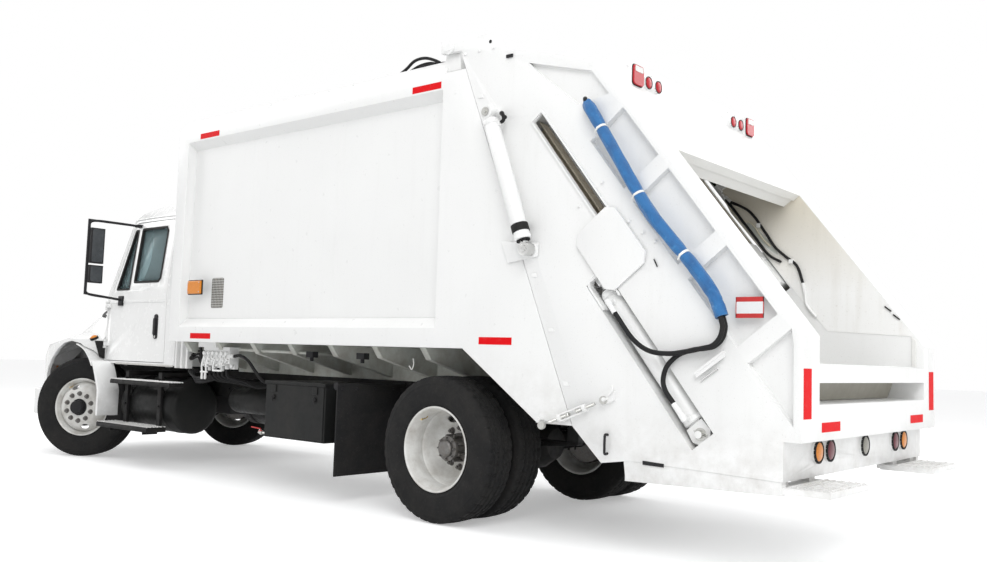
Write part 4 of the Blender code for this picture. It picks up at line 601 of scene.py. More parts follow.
def groove_depth(across, angle, drive):
    """How deep the tread is cut at a place across the tyre and an angle round it."""
    zigzag = 0.0035 * math.sin(angle * 60)
    depth = 0.0
    for centre in (-0.072, -0.026, 0.026, 0.072):
        reach = abs(across - centre - zigzag)
        depth = max(depth, 0.011 * max(0.0, min(1.0, (0.0065 - reach) / 0.0022)))
    if drive:
        slant = angle * 40 / (2 * math.pi) + across * 3.5 * (1 if across > 0 else -1)
        if abs(slant - round(slant)) < 0.085 and abs(across) > 0.02:
            depth = max(depth, 0.010)
    else:
        slant = angle * 80 / (2 * math.pi)
        if abs(slant - round(slant)) < 0.12 and abs(across) > 0.098:
            depth = max(depth, 0.005)
    return depth


def tyre_mesh(piece, matrix, drive):
    """Sidewalls and cut tread, flattened where the tyre stands; drive gives the rear tyres' lugs."""
    rows = [(radius, -across) for radius, across in SIDEWALL]
    columns = []
    for number in range(TREAD_COLUMNS):
        across = TREAD_EDGE * (2 * number / (TREAD_COLUMNS - 1) - 1)
        columns.append((TYRE_RADIUS - 0.004 * (across / TREAD_EDGE) ** 2, across))
    rows += [(radius, across) for radius, across in columns]
    rows += [(radius, across) for radius, across in reversed(SIDEWALL)]
    edge = len(SIDEWALL)
    rings = []
    for angle in turns(TYRE_TURNS):
        flat = -math.cos(angle)
        ring = []
        for number, (radius, across) in enumerate(rows):
            if edge <= number < edge + TREAD_COLUMNS:
                radius -= groove_depth(across, angle, drive)
            elif drive and (edge - 4 <= number < edge or edge + TREAD_COLUMNS <= number < edge + TREAD_COLUMNS + 4):
                slant = angle * 40 / (2 * math.pi) + 0.42
                if abs(slant - round(slant)) < 0.10:
                    radius -= 0.006
            if flat > 0.97:
                radius = min(radius, AXLE_HEIGHT / flat)
            ring.append(matrix @ Vector((across, radius * math.sin(angle), radius * math.cos(angle))))
        rings.append(piece.ring(ring))
    piece.skin(rings, "join")


def tyres():
    for label, body, matrix in wheel_places():
        piece = Piece(f"tyre_{label}_look", TYRE_RUBBER, body, smooth=40)
        tyre_mesh(piece, matrix, label.startswith("rear"))
        piece.done(replaces=[f"tyre_{label}"])


def wheel_trim():
    """Nuts, studs and hub caps."""
    for label, body, matrix in wheel_places():
        if label.endswith("inner"):
            continue
        front = label.startswith("front")
        face = 0.168 if front else -0.168 + 0.012
        nuts = Piece(f"nuts_{label}", CAST_GREY, body, smooth=30)
        for spoke in spokes(10, 0.5):
            spot = Vector((face, 0, 0)) + spoke * STUD_CIRCLE
            nuts.turned([(0.0, 0.0), (0.026, 0.0), (0.022, 0.006), (0.0, 0.006)], spot, (1, 0, 0), 16)
            nuts.turned([(0.0, 0.0), (0.018, 0.0), (0.018, 0.022), (0.0, 0.024)], spot + Vector((0.005, 0, 0)),
                        (1, 0, 0), 6)
            nuts.rod(spot + Vector((0.024, 0, 0)), spot + Vector((0.040, 0, 0)), 0.010, 10)
        nuts.moved(matrix).done()
        hub = Piece(f"hub_{label}", PLASTIC_BLACK if front else CAST_GREY, body, smooth=35)
        if front:
            hub.turned([(0.0, 0.066), (0.035, 0.064), (0.062, 0.058), (0.070, 0.048), (0.072, 0.0), (0.088, -0.004),
                        (0.088, -0.02), (0.0, -0.02)], (face + 0.004, 0, 0), (1, 0, 0), 40)
            for spoke in spokes(6):
                hub.bolt(Vector((face + 0.003, 0, 0)) + spoke * 0.080, (1, 0, 0), 0.007, False)
        else:
            hub.turned([(0.0, 0.185), (0.050, 0.182), (0.060, 0.172), (0.062, 0.150), (0.088, 0.146), (0.090, 0.128),
                        (0.075, 0.120), (0.078, 0.04), (0.105, 0.02), (0.105, -0.01), (0.0, -0.01)],
                       (face, 0, 0), (1, 0, 0), 40)
            for spoke in spokes(8):
                spot = Vector((face + 0.146, 0, 0)) + spoke * 0.075
                hub.rod(spot, spot + Vector((0.022, 0, 0)), 0.006, 8)
                hub.bolt(spot, (1, 0, 0), 0.0095)
            for spoke in spokes(8, 0.5):
                start = Vector((face + 0.02, 0, 0)) + spoke * 0.06
                side = Vector((1, 0, 0)).cross(spoke) * 0.008
                hub.block(start - side, side * 2, spoke * 0.042, Vector((0.10, 0, 0)))
        hub.moved(matrix).done()


def sp(x, out, down):
    """A point on the tailgate's slope axes, as a vector."""
    return Vector((x, *slope_point(out, down)))


def cut_holes(made, shapes):
    """Cuts the given closed shapes out of a finished piece."""
    cutter = bpy.data.objects.new("cutter", bpy.data.meshes.new("cutter"))
    bpy.context.collection.objects.link(cutter)
    shapes.bm.transform(TO_ROW)
    shapes.bm.to_mesh(cutter.data)
    shapes.bm.free()
    holes = made.modifiers.new("holes", "BOOLEAN")
    holes.operation = "DIFFERENCE"
    holes.object = cutter
    holes.solver = "EXACT"
    rounding = made.modifiers.get("rounded")
    if rounding:
        made.modifiers.remove(rounding)
    graph = bpy.context.evaluated_depsgraph_get()
    cut = bpy.data.meshes.new_from_object(made.evaluated_get(graph))
    made.modifiers.clear()
    made.data = cut
    bpy.data.objects.remove(cutter)
    cut.set_sharp_from_angle(angle=math.radians(30))
    return made


# Columns: radius, distance from the rim's middle plane, outboard positive; lip, barrel and lip from out to in
BARREL_OUT = [
    (0.3035, 0.1185), (0.3045, 0.1225), (0.3010, 0.1255), (0.2950, 0.1250), (0.2895, 0.1205), (0.2860, 0.1130),
    (0.2835, 0.1000), (0.2800, 0.0900), (0.2760, 0.0840),
]
BARREL_BACK = [
    (0.2835, -0.1000), (0.2860, -0.1130), (0.2895, -0.1205), (0.2950, -0.1250), (0.3010, -0.1255),
    (0.3045, -0.1225), (0.3035, -0.1185), (0.2975, -0.1130), (0.2890, -0.1020), (0.2850, -0.0900),
    (0.2680, -0.0600), (0.2680, 0.0600), (0.2850, 0.0900), (0.2890, 0.1020), (0.2975, 0.1130),
]
# Columns: radius, depth in from the disc's face
DISC_FRONT = [
    (0.2640, 0.1180), (0.2560, 0.1000), (0.2480, 0.0780), (0.2380, 0.0560), (0.2250, 0.0350), (0.2100, 0.0170),
    (0.1950, 0.0070), (0.1800, 0.0020), (0.1680, 0.0000), (0.1600, 0.0000), (0.1585, 0.0015), (0.1560, 0.0015),
    (0.1545, 0.0000), (0.0900, 0.0000), (0.0700, 0.0010), (0.0700, 0.0110), (0.1600, 0.0115), (0.1800, 0.0135),
    (0.1980, 0.0200), (0.2160, 0.0340), (0.2300, 0.0520), (0.2420, 0.0780), (0.2500, 0.1000), (0.2580, 0.1280),
]
RIM_TURNS = 96
DISC_OFFSET = 0.168
HOLE_TURN = math.radians(18)


def rim_profile(side):
    """A rim's whole section about its own middle plane; the disc bulges to side, 1 outboard or -1 inboard."""
    face = side * DISC_OFFSET
    disc = [(radius, face - side * depth) for radius, depth in DISC_FRONT]
    if side > 0:
        return [*BARREL_OUT, (0.2700, 0.0720), *disc, (0.2660, 0.0300), (0.2700, -0.0400), (0.2760, -0.0840),
                *BARREL_BACK]
    return [(radius, -reach) for radius, reach in rim_profile(1)]


def rims():
    """Smooth rims with their discs, hand holes and valve stems, and the brake drums behind them."""
    for label, body, matrix in wheel_places():
        if label.endswith("inner"):
            continue
        front = label.startswith("front")
        # The twins' rims are placed about the middle plane between them
        matrix = matrix if front else matrix @ Matrix.Translation((-DISC_OFFSET, 0, 0))
        rim = Piece(f"rim_{label}_look", RIM_WHITE, body, smooth=34)
        if front:
            rim.turned(rim_profile(1), (0, 0, 0), (1, 0, 0), RIM_TURNS)
        else:
            rim.turned(rim_profile(-1), (DISC_OFFSET, 0, 0), (1, 0, 0), RIM_TURNS)
            rim.turned(rim_profile(1), (-DISC_OFFSET - 0.001, 0, 0), (1, 0, 0), RIM_TURNS)
        holes = Piece("holes", RIM_WHITE, body)
        disc_x = DISC_OFFSET if front else 0.0
        for number in range(2):
            angle = math.pi * number + math.pi / 2 + HOLE_TURN
            spot = Vector((0.0, math.cos(angle), math.sin(angle)))
            across = Vector((0.0, -math.sin(angle), math.cos(angle)))
            ring = [spot * (0.212 + 0.024 * math.cos(turn)) + across * 0.042 * math.sin(turn) for turn in turns(28)]
            holes.prism("x", disc_x - 0.16, disc_x + 0.16, [(point.y, point.z) for point in ring])
        node = f"rim_{label.replace('_outer', '')}"
        made = rim.moved(matrix).done(replaces=[node])
        cut_holes(made, holes.moved(matrix))
        drum = Piece(f"drum_{label.replace('_outer', '')}", CAST_GREY, body, smooth=34)
        if front:
            drum.turned([(0.045, -0.06), (0.19, -0.06), (0.205, -0.05), (0.205, 0.06), (0.20, 0.075), (0.12, 0.085),
                         (0.10, 0.10), (0.10, 0.165), (0.045, 0.165)], (0, 0, 0), (1, 0, 0), 64)
        else:
            drum.turned([(0.046, -0.20), (0.13, -0.20), (0.205, -0.19), (0.212, -0.18), (0.212, -0.10), (0.205, -0.095),
                         (0.15, -0.09), (0.12, -0.08), (0.12, -0.013), (0.046, -0.013)], (0, 0, 0), (1, 0, 0), 64)
            for spoke in spokes(16):
                side = Vector((1, 0, 0)).cross(spoke) * 0.004
                drum.block(Vector((-0.178, 0, 0)) + spoke * 0.209 - side, side * 2, spoke * 0.008, (0.07, 0, 0))
        drum.moved(matrix).done()
        valve = Piece(f"valve_{label}", BRASS, body)
        angle = math.pi / 2 + HOLE_TURN + 0.25
        spoke = Vector((0.0, math.cos(angle), math.sin(angle)))
        start = Vector((0.075 if front else 0.225, 0, 0)) + spoke * 0.262
        valve.tube([start, start + Vector((0.02, 0, 0)) - spoke * 0.012, start + Vector((0.065, 0, 0)) - spoke * 0.02],
                   0.0042, 10, 8)
        valve.rod(start + Vector((0.058, 0, 0)) - spoke * 0.019, start + Vector((0.078, 0, 0)) - spoke * 0.022,
                  0.0065, 8)
        valve.moved(matrix).done()


# Lamps, strips and plates
def lens_dome(piece, place, normal, radius):
    """A round lamp's lens."""
    piece.turned([(0.0, 0.0105), (radius * 0.3, 0.0100), (radius * 0.6, 0.0082), (radius * 0.85, 0.0052),
                  (radius * 0.96, 0.0020), (radius, -0.004), (0.0, -0.004)], place, normal, 40)


def ring_seal(piece, place, normal, radius, wide):
    """A rubber grommet round a lamp."""
    piece.turned([(radius - wide * 0.35, -0.006), (radius - wide * 0.35, 0.002), (radius - wide * 0.1, 0.0055),
                  (radius + wide * 0.45, 0.0065), (radius + wide, 0.0035), (radius + wide, -0.006)],
                 place, normal, 40)


def rear_lights():
    """The five round lamps in the lower panel and the cluster on the upper lamp box."""
    # Columns: x, lens
    low = [(-0.77, AMBER_LENS), (-0.59, DARK_LENS), (0.0, SMOKE_LENS), (0.59, DARK_LENS), (0.77, AMBER_LENS)]
    seals = Piece("lamp_seals_low", SEAL_RUBBER, "tailgate", smooth=40)
    for number, (x, paint) in enumerate(low):
        place = Vector((x, 2.612, 0.705))
        ring_seal(seals, place, (0, 1, 0), 0.058, 0.0095)
        lamp = Piece(f"lamp_low_{number}", paint, "tailgate", smooth=40)
        lens_dome(lamp, place + Vector((0, 0.001, 0)), (0, 1, 0), 0.055)
        lamp.done()
    seals.done()
    seals = Piece("lamp_seals_high", SEAL_RUBBER, "tailgate", smooth=40)
    rearward = Vector((0.0, 1.0, 0.0))
    for side, label in SIDES:
        lamps = Piece(f"lamps_high_{label}", RED_LENS, "tailgate", smooth=40)
        for x in (0.70, 0.572):
            place = Vector((side * x, HIGH_LAMP_Y, 3.066))
            lens_dome(lamps, place, rearward, 0.039)
            ring_seal(seals, place - rearward * 0.0015, rearward, 0.0405, 0.0035)
        lamps.done()
        middle = side * 0.85

        def plate(half, low, high, corner):
            return rounded([(middle - half, low), (middle + half, low), (middle + half, high), (middle - half, high)],
                           corner, 8)

        square = Piece(f"lamp_square_{label}", RED_LENS, "tailgate", bevel=0.004, smooth=40, bevel_steps=3)
        square.prism("y", HIGH_LAMP_Y, HIGH_LAMP_Y + 0.017, plate(0.064, 3.0105, 3.1445, 0.030))
        square.done()
        clear = Piece(f"lamp_window_{label}", CLEAR_LENS, "tailgate", bevel=0.003, smooth=40)
        clear.prism("y", HIGH_LAMP_Y + 0.015, HIGH_LAMP_Y + 0.0195, plate(0.050, 3.098, 3.137, 0.012))
        clear.done()
        edge = Piece(f"lamp_edge_{label}", SEAL_RUBBER, "tailgate", bevel=0.003)
        edge.prism("y", HIGH_LAMP_Y + 0.0002, HIGH_LAMP_Y + 0.005, plate(0.0675, 3.0045, 3.1495, 0.030))
        edge.done()
    seals.done()
    bolts = Piece("lamp_bolts", TAIL_WHITE, "tailgate")
    for side in (1, -1):
        for x in (0.505, 0.636, 0.765, 0.945):
            bolts.bolt((side * x, HIGH_LAMP_Y - 0.0196, 3.132), rearward, 0.007)
    bolts.done()


def strips():
    """Retroreflective strips, the ribbed plates above the tail posts' strips, and a blank sign on each side."""
    film = 0.0012
    body_tape = Piece("strips_body", RED_TAPE, "chassis")
    x = HALF_WIDTH + SEAT
    for side in (1, -1):
        near, far = side * x, side * (x + film)
        for y0, y1, z in ((-3.11, -2.81, 3.133), (-0.325, -0.03, 3.133), (-3.10, -2.78, 1.270), (0.41, 0.70, 1.270)):
            body_tape.box(near, far, y0, y1, z, z + 0.05)
    body_tape.done()
    rear = Piece("strips_tail", RED_TAPE, "tailgate")
    for side in (1, -1):
        rear.box(side * 0.656, side * 0.936, TAIL_REAR + SEAT, TAIL_REAR + SEAT + film, 0.826, 0.880)
        rear.box(side * 1.085, side * 1.195, TAIL_REAR + SEAT, TAIL_REAR + SEAT + film, 0.905, 1.177)
    rear.done()
    ribs = Piece("post_ribs", TAIL_WHITE, "tailgate", bevel=0.0008)
    for side in (1, -1):
        for row in range(13):
            across = side * (1.090 + row * 0.0082)
            ribs.box(across - 0.0022, across + 0.0022, TAIL_REAR + SEAT, TAIL_REAR + 0.0025, 1.180, 1.352)
        ribs.box(side * 1.086, side * 1.194, 2.6902, 2.6908, 1.178, 1.354)
    ribs.done()
    # The sign is a white plate in a red frame
    for side, label in SIDES:
        near = side * (HALF_WIDTH + 0.0004)
        sign = Piece(f"sign_{label}", WHITE_TAPE, "tailgate", bevel=0.0003)
        sign.box(near, side * (HALF_WIDTH + 0.0018), 2.312, 2.469, 1.452, 1.560)
        sign.done()
        edge = Piece(f"sign_edge_{label}", RED_PAINT, "tailgate")
        far = side * (HALF_WIDTH + 0.0022)
        for y0, y1, z0, z1 in ((2.307, 2.474, 1.538, 1.565), (2.307, 2.474, 1.447, 1.472),
                               (2.307, 2.3115, 1.447, 1.565), (2.4695, 2.474, 1.447, 1.565)):
            edge.box(near, far, y0, y1, z0, z1)
        edge.done()


def marker_lamps():
    """Amber lamp and chequered grip patch at the front of the body's side."""
    for side, label in SIDES:
        x = side * 1.13
        base = Piece(f"side_lamp_base_{label}", SEAL_RUBBER, "chassis", bevel=0.003)
        base.box(side * (HALF_WIDTH + SEAT), side * (HALF_WIDTH + 0.008), -3.165, -2.935, 1.672, 1.808)
        base.done()
        lamp = Piece(f"side_lamp_{label}", AMBER_LENS, "chassis", bevel=0.009, bevel_steps=3)
        lamp.box(side * (HALF_WIDTH + 0.006), side * (HALF_WIDTH + 0.026), -3.156, -2.944, 1.680, 1.800)
        lamp.done()
        screws = Piece(f"side_lamp_screws_{label}", ZINC, "chassis")
        for y in (-3.135, -2.965):
            for z in (1.697, 1.783):
                screws.bolt((side * (HALF_WIDTH + 0.024), y, z), (side, 0, 0), 0.0055, False)
        screws.done()
        patch = Piece(f"grip_patch_{label}", CHEQUER, "chassis", bevel=0.0005)
        outline = []
        for cy, cz, first in ((-2.765, 1.81, 0), (-2.91, 1.81, 90), (-2.91, 1.575, 180), (-2.765, 1.575, 270)):
            for step in range(5):
                angle = math.radians(first + step * 22.5)
                outline.append((cy + 0.02 * math.cos(angle), cz + 0.02 * math.sin(angle)))
        patch.prism("x", x, x + side * 0.0025, outline)
        patch.done()


# Hoses beside the packer cylinder
WRAP_RADIUS = 0.042
WRAP_X = HALF_WIDTH + WRAP_RADIUS + SEAT
WRAP_ROUTE = [
    (1.285, 2.827), (1.50, 2.49), (1.727, 2.133), (1.92, 1.90), (2.081, 1.725), (2.19, 1.58), (2.242, 1.453),
]
# Columns: distance outboard of the bundle's middle, y, z
HOSE_HIGH_ROUTE = [
    (0.0165, 2.1968, 1.2894), (0.0165, 2.1368, 1.2733), (0.0165, 2.030, 1.252), (0.0165, 1.918, 1.238),
    (0.012, 1.784, 1.252), (0.003, 1.665, 1.322),
]
HOSE_LOW_ROUTE = [
    (-0.0165, 2.1968, 1.2894), (-0.0165, 2.1368, 1.2733), (-0.0165, 2.058, 1.263), (-0.0165, 1.965, 1.232),
    (-0.013, 1.893, 1.165), (-0.007, 1.872, 1.083), (-0.002, 1.893, 1.020),
]
WRAP_BEND = [(2.2568, 1.3933), (2.2407, 1.3333)]
CYLINDER_OUT = 2.12
CYLINDER_X = HALF_WIDTH - 0.075
HOSE_RADIUS = 0.015
HIGH_FITTING_END = -0.215
LOW_FITTING_END = 0.454


def free_hose(side, route, fitting_end, down):
    """The same points as in the CAD source: out of the wrapped bundle and round to the fitting."""
    bundle = smooth_route([Vector((side * WRAP_X, y, z)) for y, z in WRAP_ROUTE], 14)
    way = (bundle[-1] - bundle[-2]).normalized()
    start = bundle[-1] + way * SEAT
    start.x += side * route[0][0]
    points = [start, start + way * 0.015]
    points += [Vector((start.x, *spot)) for spot in WRAP_BEND]
    points += [Vector((side * (WRAP_X + out), y, z)) for out, y, z in route]
    for back in (0.015, 0.0):
        points.append(Vector((side * WRAP_X, *slope_point(CYLINDER_OUT, fitting_end - down * (SEAT + back)))))
    return points


def cords():
    """The free black hoses from the wrapped bundle to the packer cylinder's two ports."""
    for side, label in SIDES:
        for name, route, end, down in (("upper", HOSE_HIGH_ROUTE, HIGH_FITTING_END, -1),
                                       ("lower", HOSE_LOW_ROUTE, LOW_FITTING_END, 1)):
            points = free_hose(side, route, end, down)
            line = [points[0], *smooth_route(points[1:-1], 48), points[-1]]
            curve = bpy.data.curves.new(f"hose_{name}_{label}_look", "CURVE")
            curve.dimensions = "3D"
            curve.bevel_depth = HOSE_RADIUS - 0.0002
            curve.bevel_resolution = 6
            curve.use_fill_caps = True
            spline = curve.splines.new("POLY")
            spline.points.add(len(line) - 1)
            for place, point in zip(spline.points, line):
                place.co = (*(TO_ROW @ point), 1.0)
            curve.materials.append(HOSE_RUBBER)
            made = bpy.data.objects.new(f"hose_{name}_{label}_look", curve)
            bpy.context.collection.objects.link(made)
            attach(made, "tailgate")
            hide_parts(f"hose_{name}_{label}")


# Distances along the bundle where it is tied, and how finely it is made along and round
TIES = (0.215, 0.735, 1.235)
SLEEVE_ROWS = 150
SLEEVE_STEPS = 28


def sleeve():
    """The blue wrap round the hose bundle: folds, kinks, a gathered top and white ties."""
    for side, label in SIDES:
        route = smooth_route([Vector((side * WRAP_X, y, z)) for y, z in WRAP_ROUTE], SLEEVE_ROWS)
        wrap = Piece(f"hose_wrap_{label}_look", WRAP_BLUE, "tailgate", smooth=60)
        rings = []
        length = 0.0
        for here, point in enumerate(route):
            if here:
                length += (point - route[here - 1]).length
            way = (route[min(here + 1, SLEEVE_ROWS - 1)] - route[max(here - 1, 0)]).normalized()
            other = way.cross(Vector((1, 0, 0))).normalized()
            t = here / (SLEEVE_ROWS - 1)
            pinch = sum(math.exp(-((length - place) / 0.028) ** 2) for place in TIES)
            kink = math.exp(-((t - 0.83) / 0.025) ** 2) + math.exp(-((t - 0.90) / 0.02) ** 2)
            gather = max(0.0, 1 - length / 0.05)
            ring = []
            for angle in turns(SLEEVE_STEPS):
                spot = Vector((math.cos(angle) * 2.2, math.sin(angle) * 2.2, length * 9))
                slow = Vector((math.cos(angle) * 1.6, math.sin(angle) * 1.6, length * 3.0))
                fold = noise.noise(slow) * 0.0060 + noise.noise(spot * 1.6) * 0.0020
                crease = 0.0026 * math.sin(angle * 3 + 5 * noise.noise(Vector((0.0, 3.0, length * 2.2))) + length * 4)
                rough_end = (0.5 + 0.5 * math.sin(angle * 5 + length * 60)) * 0.006 * max(kink, min(1.0, gather * 2))
                radius = 0.0385 + fold + crease - 0.0050 * pinch - 0.006 * kink - 0.013 * gather + rough_end
                radius = min(radius, 0.0418)
                across = Vector((side * math.cos(angle), 0, 0)) * radius * (1 - 0.35 * gather)
                ring.append(point + across + other * math.sin(angle) * radius)
            rings.append(wrap.ring(ring))
        # The lower end is turned in, so that the hoses come out of a dark mouth
        inner = wrap.ring([v.co + (route[-1] - v.co) * 0.22 for v in rings[-1]])
        deep = wrap.ring([v.co - way * 0.05 for v in inner])
        wrap.skin([*rings, inner, deep]).done(replaces=[f"hose_wrap_{label}"])
        ties = Piece(f"wrap_ties_{label}", TIE_WHITE, "tailgate", smooth=40)
        length = 0.0
        waiting = list(TIES)
        outward = Vector((side, 0, 0))
        for first, second in zip(route, route[1:]):
            length += (second - first).length
            if waiting and length >= waiting[0]:
                waiting.pop(0)
                way = (second - first).normalized()
                ties.turned([(0.0350, -0.008), (0.0388, -0.007), (0.0396, 0.0), (0.0388, 0.007), (0.0350, 0.008)],
                            second, way, 32)
                knot = second + outward * 0.036
                across = way.cross(outward)
                ties.block(knot - way * 0.007, way * 0.014, across * 0.011, outward * 0.0055)
                ties.block(knot + across * 0.011 - way * 0.003, way * 0.006, across * 0.028 + way * 0.01,
                           outward * 0.002)
        ties.done()
        end = Piece(f"wrap_tip_{label}", HOSE_RUBBER, "tailgate", smooth=40)
        tip = route[0]
        way = (route[1] - route[0]).normalized()
        end.tube([tip + way * 0.03, tip - way * 0.010, tip - way * 0.030 + Vector((-side * 0.012, 0, 0))], 0.015, 8, 12)
        end.done()


def band(inner, outer, wide):
    """The profile of a ring with eased corners, to be turned."""
    return [(inner, 0.0), (outer - 0.001, 0.0), (outer, 0.003), (outer, wide - 0.003), (outer - 0.001, wide),
            (inner, wide)]


def fitting(piece, start, way, radius, length):
    """A crimped hose ferrule with its hexagon nut at the far end."""
    profile = [(0.0, 0.0), (radius, 0.0)]
    steps = 5
    body = length * 0.62
    for number in range(steps):
        low = body * number / steps
        profile += [(radius, low + body * 0.02), (radius * 0.90, low + body * 0.07), (radius, low + body * 0.13)]
    profile += [(radius, body), (radius * 0.72, body), (radius * 0.72, length), (0.0, length)]
    piece.turned(profile, start, way, 24)
    piece.turned([(0.0, body + length * 0.05), (radius * 1.12, body + length * 0.05),
                  (radius * 1.12, body + length * 0.30), (0.0, body + length * 0.30)], start, way, 6)


# The tailgate's sides
def cylinder_dress():
    """Bands, ports, fittings, seals, pins and clevis plates of the packer cylinders."""
    for side, label in SIDES:
        x = side * CYLINDER_X
        white = Piece(f"packer_cylinder_trim_{label}", TAIL_WHITE, "tailgate", smooth=35)
        for down in (-0.385, 0.555):
            white.turned(band(0.058, 0.0675, 0.030), sp(x, CYLINDER_OUT, down), SLOPE_DOWN, 48)
        for port, end in ((-0.30, HIGH_FITTING_END), (0.56, LOW_FITTING_END)):
            white.turned([(0.0, 0.0), (0.024, 0.0), (0.024, 0.014), (0.019, 0.020), (0.019, 0.062), (0.0, 0.062)],
                         sp(side * (CYLINDER_X + 0.052), CYLINDER_OUT, port), (side, 0, 0), 28)
            way = -SLOPE_DOWN if end > port else SLOPE_DOWN
            fitting(white, sp(side * WRAP_X, CYLINDER_OUT, end) + way * 0.0005, way, 0.0175, abs(end - port) + 0.002)
        white.done()
        black = Piece(f"packer_cylinder_seal_{label}", SEAL_RUBBER, "tailgate", smooth=35)
        black.turned([(0.0325, -0.010), (0.050, -0.010), (0.052, 0.0), (0.0325, 0.0)],
                     sp(x, CYLINDER_OUT, -0.401), SLOPE_DOWN, 40)
        black.done()
        # Split pin and washers of the lower clevis
        pin = Piece(f"clevis_pins_{label}", ZINC, "tailgate", smooth=30)
        spot = sp(side * (HALF_WIDTH - 0.036), CYLINDER_OUT, 0.67)
        pin.turned([(0.0, 0.0), (0.038, 0.0), (0.038, 0.006), (0.0225, 0.006), (0.0225, 0.030), (0.019, 0.034),
                    (0.0, 0.034)], spot, (side, 0, 0), 32)
        pin.tube([spot + Vector((side * 0.020, -0.034, 0.02)), spot + Vector((side * 0.020, 0.036, -0.012)),
                  spot + Vector((side * 0.020, 0.052, -0.002)), spot + Vector((side * 0.020, 0.040, 0.010)),
                  spot + Vector((side * 0.020, 0.02, 0.0))], 0.0032, 30, 8)
        pin.done()
        plates = Piece(f"clevis_plates_{label}", TAIL_WHITE, "tailgate", bevel=0.003)
        for inset in (0.045, 0.115):
            near = side * (HALF_WIDTH - inset)
            outline = [slope_point(out, down) for out, down in (
                (2.06, 0.60), (2.18, 0.60), (2.19, 0.68), (2.16, 0.718), (2.08, 0.718), (2.05, 0.68))]
            plates.prism("x", near, near + side * 0.012, outline)
        plates.done()


def lift_dress():
    """Glands, caps, ports, hooked hoses and pins of the lift cylinders, whose ends are top and eye as (y, z)."""
    top, eye = Vector((0.0, 0.50, 2.86)), Vector((0.0, 0.86, 1.90))
    way = (eye - top).normalized()
    reach = (eye - top).length
    for side, label in SIDES:
        across = Vector((side * 1.30, 0, 0))
        body = f"lift_barrel_{label}"
        bands = Piece(f"lift_gland_{label}", SEAL_RUBBER, body, smooth=35)
        at = across + top + way * (reach - 0.175)
        bands.turned([(0.050, 0.0), (0.0585, 0.002), (0.0595, 0.008), (0.0595, 0.050), (0.0585, 0.056), (0.050, 0.058)],
                     at, way, 48)
        bands.turned([(0.0312, 0.111), (0.046, 0.111), (0.047, 0.117), (0.0312, 0.120)], at, way, 40)
        bands.done()
        caps = Piece(f"lift_caps_{label}", TAIL_WHITE, body, smooth=35)
        caps.turned(band(0.05, 0.0585, 0.031), across + top + way * 0.07, way, 48)
        caps.turned([(0.030, 0.0), (0.0565, 0.0), (0.0575, 0.003), (0.0575, 0.022), (0.056, 0.025), (0.030, 0.025)],
                    across + top + way * (reach - 0.092), way, 48)
        out = way.cross(Vector((1, 0, 0)))
        out = out if out.y > 0 else -out
        caps.turned([(0.0, 0.0), (0.017, 0.0), (0.017, 0.032), (0.0, 0.032)],
                    across + top + way * 0.12 + out * 0.045, out, 20)
        caps.done()
        # The hooked hose at the cylinder's head goes back through the side
        port = across + top + way * 0.12 + out * 0.076
        hook = Piece(f"lift_hose_{label}", HOSE_RUBBER, "tailgate", smooth=40)
        hook.tube([port + out * 0.004, port + out * 0.030 - way * 0.010, port + out * 0.034 - way * 0.055,
                   port + out * 0.004 - way * 0.075 - Vector((side * 0.030, 0, 0)),
                   port - out * 0.004 - way * 0.060 - Vector((side * 0.085, 0, 0)),
                   port - out * 0.004 - way * 0.055 - Vector((side * 0.125, 0, 0))], 0.0125, 60, 14)
        hook.done()
        pins = Piece(f"lift_pins_{label}", ZINC, "tailgate", smooth=30)
        pins.turned([(0.0, 0.0), (0.030, 0.0), (0.030, 0.005), (0.014, 0.006), (0.014, 0.012), (0.0, 0.012)],
                    across + top + Vector((side * 0.035, 0, 0)), (side, 0, 0), 28)
        pins.done()


